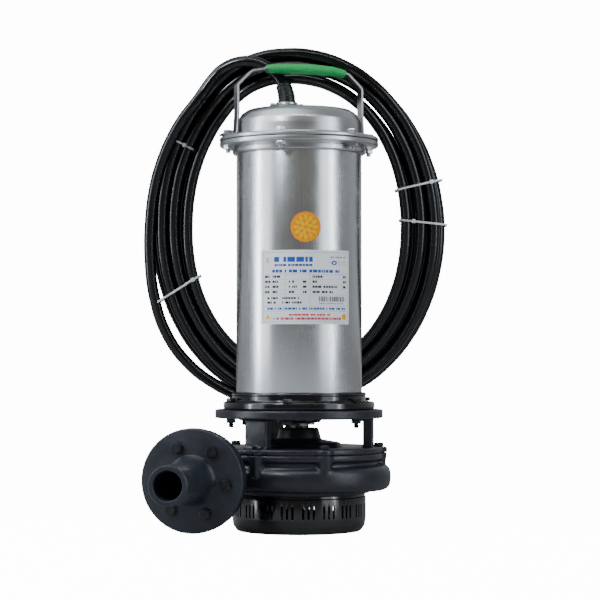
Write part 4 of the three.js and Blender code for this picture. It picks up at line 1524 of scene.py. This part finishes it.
@dataclass
class MotorBody:
    """Lower housing, stainless tube, its fasteners, rating label and round sticker."""

    tube: float = 96.85
    bolts: int = 6
    first: float = -69.0
    seal_bolts: tuple[float, ...] = (-45.0, 15.0, 135.0, 195.0)

    def build(self) -> None:
        """Makes the motor's outside."""
        self._housing()
        self._seal_cover()
        bolt = HexBolt(4.0, 13.0, 5.3, 198.4, 159.5, 172.9)
        for i in range(self.bolts):
            piece = around(bolt.form(14.0 * i), self.first + 60 * i, 111)
            settle(piece.piece(f"motor_bolt_{i + 1}_hex"), BLACK_BOLT, [f"motor_bolt_{i + 1}"])
        shell = Form().turned([
            (93.85, 212.6), (96.85, 212.6, 0.4), (96.85, 579.4, 0.4), (93.85, 579.4),
        ], 180)
        settle(shell.piece("tube_skin"), TUBE_STEEL, ["motor_tube"])
        RatingLabel().build()
        RoundSticker().build()

    @staticmethod
    def _housing() -> None:
        """Makes the gloss black flange and collar."""
        form = Form().turned([
            (20, 176), (78.6, 176, 1), (78.6, 186.5, 1), (115.0, 186.5, 1.2), (116.5, 188.6, 1.2),
            (116.5, 197.0, 1.8), (113.5, 198.4, 2.5), (107, 198.4, 2.0), (102.8, 200.0, 2.5),
            (102.6, 207.5, 0.6), (103.6, 208.6, 0.8), (103.6, 210.8, 1.0), (101.0, 212.3, 1.0),
            (97.6, 212.3, 0.3), (93.4, 212.3), (93.4, 222), (60, 222), (58, 240), (45.4, 240),
            (45.4, 214), (26, 214), (26, 208), (66, 208), (66, 184), (20, 184),
        ], 144)
        settle(form.piece("housing_skin"), GLOSS_BLACK, ["lower_housing"])

    def _seal_cover(self) -> None:
        """Makes the small cover under the motor and its bright bolts."""
        form = Form().turned([
            (15.8, 166, 0.5), (32.5, 166, 1.6), (34, 169, 1.2), (34, 175.7, 0.8), (15.8, 175.7),
        ], 72)
        settle(form.piece("seal_cover_skin"), BLACK_CASTING, ["seal_cover"])
        for i, az in enumerate(self.seal_bolts):
            bolt = Form().post(5.6, 161.5, 165.7, sides=6, edge=0.5, twist=12.0 * i)
            bolt.post(2.9, 164, 183, sides=16)
            settle(
                around(bolt, az, 27).piece(f"seal_bolt_{i + 1}_hex"), BRIGHT_BOLT,
                [f"seal_bolt_{i + 1}"],
            )


@dataclass
class Wrap:
    """Flat print that is laid round the motor tube, built in millimetres from its middle."""

    az: float
    level: float
    radius: float = 97.2
    form: Form = field(default_factory=Form)
    inks: list[Finish] = field(default_factory=list)

    def _ink(self, finish: Finish) -> int:
        """Gives the number of an ink, adding it the first time."""
        if finish not in self.inks:
            self.inks.append(finish)
        return self.inks.index(finish)

    def patch(
        self, left: float, low: float, right: float, high: float, finish: Finish, lift: float
    ) -> None:
        """Prints a rectangle.

        Args:
            left: Left edge.
            low: Bottom edge.
            right: Right edge.
            high: Top edge.
            finish: Its ink or film.
            lift: Height over the tube.
        """
        place = Matrix.Translation(((left + right) / 2, (low + high) / 2, lift)) @ Matrix.Diagonal(
            ((right - left) / 2, (high - low) / 2, 1, 1)
        )
        made = bmesh.ops.create_grid(
            self.form.bm, x_segments=max(1, round((right - left) / 3)), y_segments=1, size=1.0,
            matrix=place,
        )
        self._paint(made["verts"], finish)

    def disc(
        self, x: float, y: float, radius: float, finish: Finish, lift: float, inner: float = 0.0,
        squash: float = 1.0, twist: float = 0.0, sides: int = 32,
    ) -> None:
        """Prints a disc, ring or oval.

        Args:
            x: Middle, to the right.
            y: Middle, upwards.
            radius: Outer radius.
            finish: Its ink.
            lift: Height over the tube.
            inner: Inner radius of a ring.
            squash: Width as a share of the height.
            twist: Turn in degrees.
            sides: Facets round.
        """
        dots = [self.form.bm.verts.new((r, 0, 0)) for r in (inner, (inner + radius) / 2, radius)]
        rails = [self.form.bm.edges.new(p) for p in zip(dots, dots[1:])]
        bmesh.ops.spin(
            self.form.bm, geom=dots + rails, cent=(0, 0, 0), axis=(0, 0, 1), dvec=(0, 0, 0),
            angle=math.tau, steps=sides, use_merge=True, use_normal_flip=False,
            use_duplicate=False,
        )
        shell = self._island(dots[2])
        place = (
            Matrix.Translation((x, y, lift)) @ Matrix.Rotation(math.radians(twist), 4, "Z")
            @ Matrix.Diagonal((squash, 1, 1, 1))
        )
        bmesh.ops.transform(self.form.bm, matrix=place, verts=shell)
        self._paint(shell, finish)

    @staticmethod
    def _island(seed: bmesh.types.BMVert) -> list[bmesh.types.BMVert]:
        """Gives every vertex joined to one."""
        found, queue = {seed}, [seed]
        while queue:
            for edge in queue.pop().link_edges:
                for vert in edge.verts:
                    if vert not in found:
                        found.add(vert)
                        queue.append(vert)
        return list(found)

    def _paint(self, verts: Iterable[bmesh.types.BMVert], finish: Finish) -> None:
        """Gives the faces of some vertices an ink."""
        number = self._ink(finish)
        for vert in verts:
            for face in vert.link_faces:
                face.material_index = number

    def words(
        self, left: float, low: float, right: float, high: float, finish: Finish, lift: float,
        seed: int = 1,
    ) -> None:
        """Prints a row of plain blocks where a line of writing would be.

        Args:
            left: Left edge.
            low: Bottom edge.
            right: Right edge.
            high: Top edge.
            finish: Its ink.
            lift: Height over the tube.
            seed: Chooses the blocks' widths.
        """
        tall = high - low
        x, step = left, seed
        while x < right - tall * 0.5:
            step = (step * 37 + 11) % 97
            wide = min(tall * (0.55 + 0.5 * (step % 3)), right - x)
            self.patch(x, low, x + wide, high, finish, lift)
            x += wide + tall * (0.9 if step % 5 == 0 else 0.22)

    def piece(self, name: str, nodes: Sequence[str]) -> bpy.types.Object:
        """Wraps the print round the tube and settles it.

        Args:
            name: The piece's name.
            nodes: The nodes it stands for.

        Returns:
            The piece.
        """
        bmesh.ops.remove_doubles(self.form.bm, verts=self.form.bm.verts, dist=1e-3)
        self.form.bent(lambda p: spot(
            self.az + math.degrees(p.x / self.radius), self.radius + p.z, self.level + p.y
        ))
        for face in self.form.bm.faces:
            middle = face.calc_center_median()
            if face.normal.x * middle.x + face.normal.y * middle.y < 0:
                face.normal_flip()
            face.normal_update()
        made = self.form.piece(name, 60.0)
        settle(made, self.inks[0], nodes)
        for ink in self.inks[1:]:
            made.data.materials.append(ink.material())
        return made


@dataclass
class RatingLabel:
    """White film with a thin frame, a header, a ruled table and plain blocks for its writing."""

    az: float = 7.5
    low: float = 316.0
    wide: float = 145.7
    tall: float = 111.5

    def build(self) -> None:
        """Prints the label."""
        wrap = Wrap(self.az, self.low, 97.15)
        half = self.wide / 2
        film = 0.42
        wrap.patch(-half, 0, half, self.tall, LABEL_FILM, film)
        self._frame(wrap, half, film + 0.05)
        self._header(wrap, film + 0.06)
        self._table(wrap, film + 0.06)
        self._foot(wrap, film + 0.06)
        wrap.piece("label_print", ["rating_label"])

    def _frame(self, wrap: Wrap, half: float, lift: float) -> None:
        """Prints the frame and the table's rules."""
        left, right = -half + 3.4, half - 3.4
        for level in (107.8, 3.6):
            wrap.patch(left, level - 0.2, right, level + 0.2, INK_GREY, lift)
        for x in (left, right):
            wrap.patch(x - 0.2, 3.6, x + 0.2, 107.8, INK_GREY, lift)
        for level in (75.0, 27.3, 19.5):
            wrap.patch(left, level - 0.18, right, level + 0.18, INK_GREY, lift)
        for level in (67.2, 59.8, 52.0, 44.0):
            wrap.patch(left, level - 0.12, right, level + 0.12, INK_GREY, lift)
        for x, low in ((-33.0, 44.0), (3.6, 27.3)):
            wrap.patch(x - 0.18, low, x + 0.18, 75.0, INK_GREY, lift)

    @staticmethod
    def _header(wrap: Wrap, lift: float) -> None:
        """Prints the header."""
        wrap.patch(-67.0, 98.2, -57.5, 98.9, INK_RED, lift)
        wrap.patch(-67.0, 92.8, -57.5, 93.5, INK_RED, lift)
        wrap.disc(-62.2, 95.9, 1.5, INK_RED, lift, sides=20)
        wrap.words(-51.0, 93.4, 8.0, 101.0, INK_BLUE, lift, 3)
        wrap.words(-50.0, 87.0, 8.5, 90.2, INK_BLUE, lift, 8)
        wrap.words(36.0, 99.4, 65.0, 102.0, INK_GREY, lift, 5)
        wrap.disc(43.0, 92.4, 3.4, INK_BLUE, lift, inner=1.5, squash=1.5)
        wrap.disc(54.0, 92.4, 3.3, INK_GREY, lift, inner=2.7)
        wrap.disc(62.5, 92.4, 3.3, INK_GREY, lift, inner=2.6, sides=6)
        wrap.words(-54.0, 77.4, 55.0, 81.8, INK_BLUE, lift, 13)

    @staticmethod
    def _table(wrap: Wrap, lift: float) -> None:
        """Prints the table's rows."""
        for i, level in enumerate((69.6, 62.0, 54.4, 46.6)):
            wrap.words(-66.5, level, -58.5 + 2 * (i % 2), level + 3.4, INK_BLACK, lift, 4 + i)
            wrap.words(-53.5, level, -44.0 + 5 * (i == 0), level + 3.4, INK_BLACK, lift, 21 + i)
            if i:
                wrap.words(-28.0, level, -20.0 + 5 * (i == 2), level + 3.4, INK_BLACK, lift, 9 + i)
                wrap.words(-7.0, level, -1.5, level + 3.4, INK_BLACK, lift, 17 + i)
            reach = (24.0, 14.5, 53.0, 41.0)[i]
            wrap.words(7.5, level, reach, level + 3.4, INK_BLACK, lift, 30 + i)
            if i < 3:
                wrap.words(60.0, level, 66.5, level + 3.4, INK_BLACK, lift, 41 + i)
        for level, seed in ((37.4, 51), (30.8, 57)):
            wrap.words(-62.0, level, -45.0, level + 3.2, INK_BLACK, lift, seed)
            wrap.words(-38.0, level, -9.0, level + 3.2, INK_BLACK, lift, seed + 3)
        x, step = 17.5, 7
        while x < 62.0:
            step = (step * 29 + 13) % 83
            wide = 0.45 + 0.45 * (step % 4)
            wrap.patch(x, 34.0, min(x + wide, 62.5), 41.6, INK_BLACK, lift)
            x += wide + 0.5 + 0.35 * (step % 3)
        wrap.words(18.0, 30.2, 61.0, 31.9, INK_GREY, lift, 61)

    @staticmethod
    def _foot(wrap: Wrap, lift: float) -> None:
        """Prints the bottom lines."""
        wrap.words(-62.0, 21.6, 64.0, 24.9, INK_BLUE, lift, 71)
        wrap.words(-28.0, 12.6, 36.0, 15.4, INK_RED, lift, 77)
        wrap.words(-52.0, 6.6, 56.0, 10.0, INK_RED, lift, 83)
        wrap.disc(-61.5, 10.2, 5.0, INK_YELLOW, lift, sides=3, twist=90)
        wrap.disc(62.0, 11.2, 4.6, INK_YELLOW, lift, sides=28)


@dataclass
class RoundSticker:
    """Orange disc with a plain ring of yellow petals."""

    az: float = 6.0
    level: float = 462.0
    radius: float = 23.0

    def build(self) -> None:
        """Prints the sticker."""
        wrap = Wrap(self.az, self.level, 97.15)
        wrap.disc(0, 0, self.radius, STICKER_FILM, 0.42, sides=56)
        wrap.disc(0, 0, 20.6, INK_YELLOW, 0.47, inner=19.6, sides=56)
        for i in range(12):
            angle = math.radians(30 * i)
            wrap.disc(
                14.6 * math.sin(angle), 14.6 * math.cos(angle), 4.3, INK_YELLOW, 0.48,
                squash=0.66, twist=-30 * i, sides=16,
            )
        for i in range(6):
            angle = math.radians(60 * i + 15)
            wrap.disc(
                6.8 * math.sin(angle), 6.8 * math.cos(angle), 4.4, INK_YELLOW, 0.48,
                squash=0.6, twist=-(60 * i + 15), sides=16,
            )
        wrap.piece("sticker_print", ["round_sticker"])


# ------------------------------------------------------------------ top of the motor


@dataclass
class TopEnd:
    """Steel collar and flange on the tube, thin gasket, domed cap and six bolts."""

    ring: float = 113.0
    first: float = -14.0
    handle: float = 106.0

    def build(self) -> None:
        """Makes collar, gasket, cap and bolts."""
        collar = Form().turned([
            (90, 579.7), (101.6, 579.7, 0.8), (102.9, 581.4, 0.8), (102.9, 588.2, 0.6),
            (101.6, 589.4, 0.5), (101.6, 591.0, 1.2), (122.8, 591.0, 1.8), (122.8, 597.6, 0.8),
            (121.8, 598.2, 0.3), (90, 598.2),
        ], 160)
        settle(collar.piece("collar_skin"), SPUN_STEEL, ["upper_bracket"])
        gasket = Form().turned([(94, 598.5), (121.4, 598.5), (121.4, 599.1), (94, 599.1)], 120)
        settle(gasket.piece("cap_gasket_skin"), BLACK_RUBBER, ["cap_gasket"])
        cap = Form().turned([
            (93.9, 599.4), (122.2, 599.4, 0.5), (122.9, 600.4, 0.5), (122.9, 603.4, 1.6),
            (120.6, 605.6, 1.6), (99.6, 605.6, 1.4), (98.4, 606.8, 0.6), (96.9, 608.4, 1.2),
            (96.9, 621.5, 2), (95.9, 630.0, 12), (89.3, 641.4, 12), (79.4, 647.6, 12),
            (62, 649.8, 10), (0, 650.0), (0, 647), (62, 646.8), (77.5, 644.8, 10),
            (87, 639.4, 10), (92.9, 629.2, 10), (93.9, 621),
        ], 160, True, 5)
        settle(cap.piece("cap_skin"), SPUN_STEEL, ["top_cap"])
        for i in range(6):
            az = self.first + 60 * i
            on_strap = abs(math.cos(math.radians(az - self.handle))) > 0.99
            seat = 608.9 if on_strap else 605.6
            bolt = HexBolt(4.0, 13.0, 5.3, seat, 579.5, 590.7, 6.2)
            settle(
                around(bolt.form(8.0 + 21 * i), az, self.ring).piece(f"cap_bolt_{i + 1}_hex"),
                BRIGHT_BOLT, [f"cap_bolt_{i + 1}"],
            )


@dataclass
class CarryHandle:
    """Flat steel strap bent over the cap, with a grip of knurled green rubber."""

    az: float = 106.0
    width: float = 25.0
    thick: float = 3.0
    half: tuple[Corner, ...] = (
        (124.0, 607.4), (101.5, 607.4, 6.0), (99.5, 640.0), (99.5, 684.0, 9.0), (77.0, 706.5, 12.0),
        (53.0, 711.2, 30.0),
    )
    crest: float = 713.0
    grip: tuple[float, float] = (-53.0, 74.0)
    pitch: float = 2.6

    def line(self) -> list[tuple[float, float]]:
        """Gives the strap's middle line, from foot to foot, as (distance across, height)."""
        left = [(-c[0], *c[1:]) for c in self.half]
        middle: list[Corner] = [(-20.0, self.crest - 0.25, 60.0), (20.0, self.crest - 0.25, 60.0)]
        return soften([*left, *middle, *reversed(self.half)], False, 5)

    def _station(
        self, line: Sequence[tuple[float, float]], i: int
    ) -> tuple[Vector, Vector, Vector]:
        """Gives place, normal and width direction at a point of a line."""
        before, after = line[max(i - 1, 0)], line[min(i + 1, len(line) - 1)]
        run = Vector((after[0] - before[0], after[1] - before[1])).normalized()
        across = spot(self.az, 1.0)
        normal = across * -run.y + Vector((0, 0, run.x))
        return spot(self.az, line[i][0], line[i][1]), normal, across.cross(Vector((0, 0, 1)))

    def build(self) -> None:
        """Makes strap and grip."""
        line = self.line()
        half_thick, half_wide = self.thick / 2, self.width / 2
        section = [
            (half_thick, half_wide - 0.7), (half_thick - 0.6, half_wide),
            (0.6 - half_thick, half_wide), (-half_thick, half_wide - 0.7),
            (-half_thick, 0.7 - half_wide), (0.6 - half_thick, -half_wide),
            (half_thick - 0.6, -half_wide), (half_thick, 0.7 - half_wide),
        ]
        strap = Form().swept(section, [self._station(line, i) for i in range(len(line))])
        settle(strap.piece("strap_skin", 28.0), STRAP_STEEL, ["handle_strap"])
        self._grip(line)

    def _height(self, line: Sequence[tuple[float, float]], across: float) -> float:
        """Reads the strap's height at a distance across."""
        for a, b in zip(line, line[1:]):
            if a[0] <= across <= b[0]:
                return a[1] + (b[1] - a[1]) * (across - a[0]) / max(b[0] - a[0], 1e-6)
        return self.crest

    def _grip(self, line: Sequence[tuple[float, float]]) -> None:
        """Makes the grip round the strap's flat top."""
        low, high = self.grip
        count = 72
        path = [
            (low + (high - low) * k / count, self._height(line, low + (high - low) * k / count))
            for k in range(count + 1)
        ]
        sides = 44
        ring = [
            (math.cos(math.tau * k / sides), math.sin(math.tau * k / sides)) for k in range(sides)
        ]
        route = []
        for k in range(count + 1):
            place, normal, wide = self._station(path, k)
            share = k / count
            end = min(share, 1 - share) * (high - low)
            swell = 0.68 + 0.32 * max(0.0, math.sin(math.pi * share)) ** 0.55
            lip = 1 - 0.2 * max(0.0, 1 - end / 2.2) ** 2
            route.append((place, normal * 8.0 * swell * lip, wide * 14.4 * (0.93 + 0.07 * swell) * lip))
        form = Form().swept(ring, route)
        chart = form.bm.loops.layers.uv.new("grip")
        across = spot(self.az, 1.0)
        girth = 2 * math.pi * math.sqrt((8.0 ** 2 + 14.4 ** 2) / 2)
        cells = round(girth / self.pitch)
        for face in form.bm.faces:
            turns = []
            for loop in face.loops:
                along = loop.vert.co.dot(across)
                side = loop.vert.co.dot(across.cross(Vector((0, 0, 1)))) / 14.4
                rise = (loop.vert.co.z - self._height(line, along)) / 8.0
                turns.append((along, math.atan2(side, rise) / math.tau))
            least = min(t for _, t in turns)
            for loop, (along, turn) in zip(face.loops, turns):
                turn += 1 if turn - least < 0 else 0
                turn -= 1 if turn - least > 0.5 else 0
                loop[chart].uv = (along / self.pitch, turn * cells)
        settle(form.piece("grip_skin", 50.0), GREEN_GRIP, ["handle_grip"])


@dataclass
class CableGland:
    """Flanged steel collar on the cap with two screws and a tapered rubber boot."""

    at: tuple[float, float] = (-19.0, 10.0)
    screws: tuple[tuple[float, float], ...] = ((-40.6, 3.5), (2.6, 16.5))
    boot_turn: float = 27.0
    ribs: int = 5

    def build(self, cable: PowerCable) -> None:
        """Makes collar, screws and boot.

        Args:
            cable: The cable that the boot bends with.
        """
        shift = Matrix.Translation((*self.at, 0))
        plate = Form().turned([
            (9.7, 650.3), (28.6, 650.3, 0.3), (29.0, 651.0, 0.3), (29.0, 654.6, 1.6),
            (27.2, 656.8, 1.6), (19.4, 656.8, 2.0), (17.2, 658.2, 1.2), (17.0, 661.2, 0.9),
            (16.0, 662.0, 0.6), (9.7, 662.0),
        ], 72).moved(shift)
        settle(plate.piece("gland_skin"), SPUN_STEEL, ["gland_plate"])
        for i, (x, y) in enumerate(self.screws):
            screw = Form().turned([
                (0, 645.5), (2.4, 645.5), (2.4, 657.1), (4.4, 657.1, 0.2), (4.4, 659.4, 0.7),
                (3.5, 660.4, 0.5), (2.2, 660.4), (1.9, 658.6), (0, 658.4),
            ], 6 if i > 5 else 28, False)
            piece = screw.moved(Matrix.Translation((x, y, 0))).piece(f"gland_screw_{i + 1}_cap")
            settle(piece, BRIGHT_BOLT, [f"gland_screw_{i + 1}"])
        self._boot(cable)

    def _boot(self, cable: PowerCable) -> None:
        """Makes the boot along the cable's first bend."""
        sides = 36
        ring = [
            (math.cos(math.tau * k / sides), math.sin(math.tau * k / sides)) for k in range(sides)
        ]
        route = []
        count = 40
        for k in range(count + 1):
            share = k / count
            turn = self.boot_turn * share
            here = cable.arc(turn)
            along = (cable.arc(turn + 0.5) - cable.arc(turn - 0.5)).normalized()
            side = Vector((-cable.heading[1], cable.heading[0], 0)).normalized()
            rib = 0.45 * max(0.0, math.sin(math.tau * self.ribs * share)) if 0.12 < share < 0.94 else 0
            radius = 13.6 - 1.9 * share + rib - 1.7 * max(0.0, (share - 0.9) / 0.1) ** 2
            if k == 0:
                here = here + along * 0.1
            route.append((here, side * radius, along.cross(side) * radius))
        boot = Form().swept(ring, route)
        settle(boot.piece("boot_skin", 50.0), BLACK_RUBBER, ["gland_boot"])


# ------------------------------------------------------------------ inside


@dataclass(frozen=True)
class InnerWorks:
    """Hidden parts, whose plain shapes stay and only get their materials."""

    finishes: tuple[tuple[str, Finish], ...] = (
        # The shaft and the seal take the steel that is darkened partly with painted shade.
        ("stator_core", MACHINED), ("stator_winding", COPPER), ("lower_bearing", MACHINED),
        ("upper_bearing", MACHINED), ("rotor_shaft", SHADED_SHAFT_STEEL), ("rotor_core", MACHINED),
        ("mechanical_seal", SHADED_SHAFT_STEEL), ("impeller", BRONZE), ("impeller_nut", BRIGHT_BOLT),
    )

    def build(self) -> None:
        """Dresses every hidden part."""
        for node, finish in self.finishes:
            dress(node, finish)


def main() -> None:
    """Builds every sub-assembly in order."""
    logging.basicConfig(level=logging.INFO, format="%(message)s")
    Studio().build()
    cable = PowerCable()
    cable.build()
    CableGland().build(cable)
    for part in (
        StrainerFoot(), SpiralCasing(), DischargeOutlet(), LanternBracket(), MotorBody(),
        TopEnd(), CarryHandle(), InnerWorks(),
    ):
        part.build()
        LOG.info("built %s", type(part).__name__)
    for made in bpy.data.objects:
        if made.type == "MESH" and not made.hide_render:
            LOG.info("%s: %d faces", made.name, len(made.data.polygons))


if __name__ == "__main__":
    main()
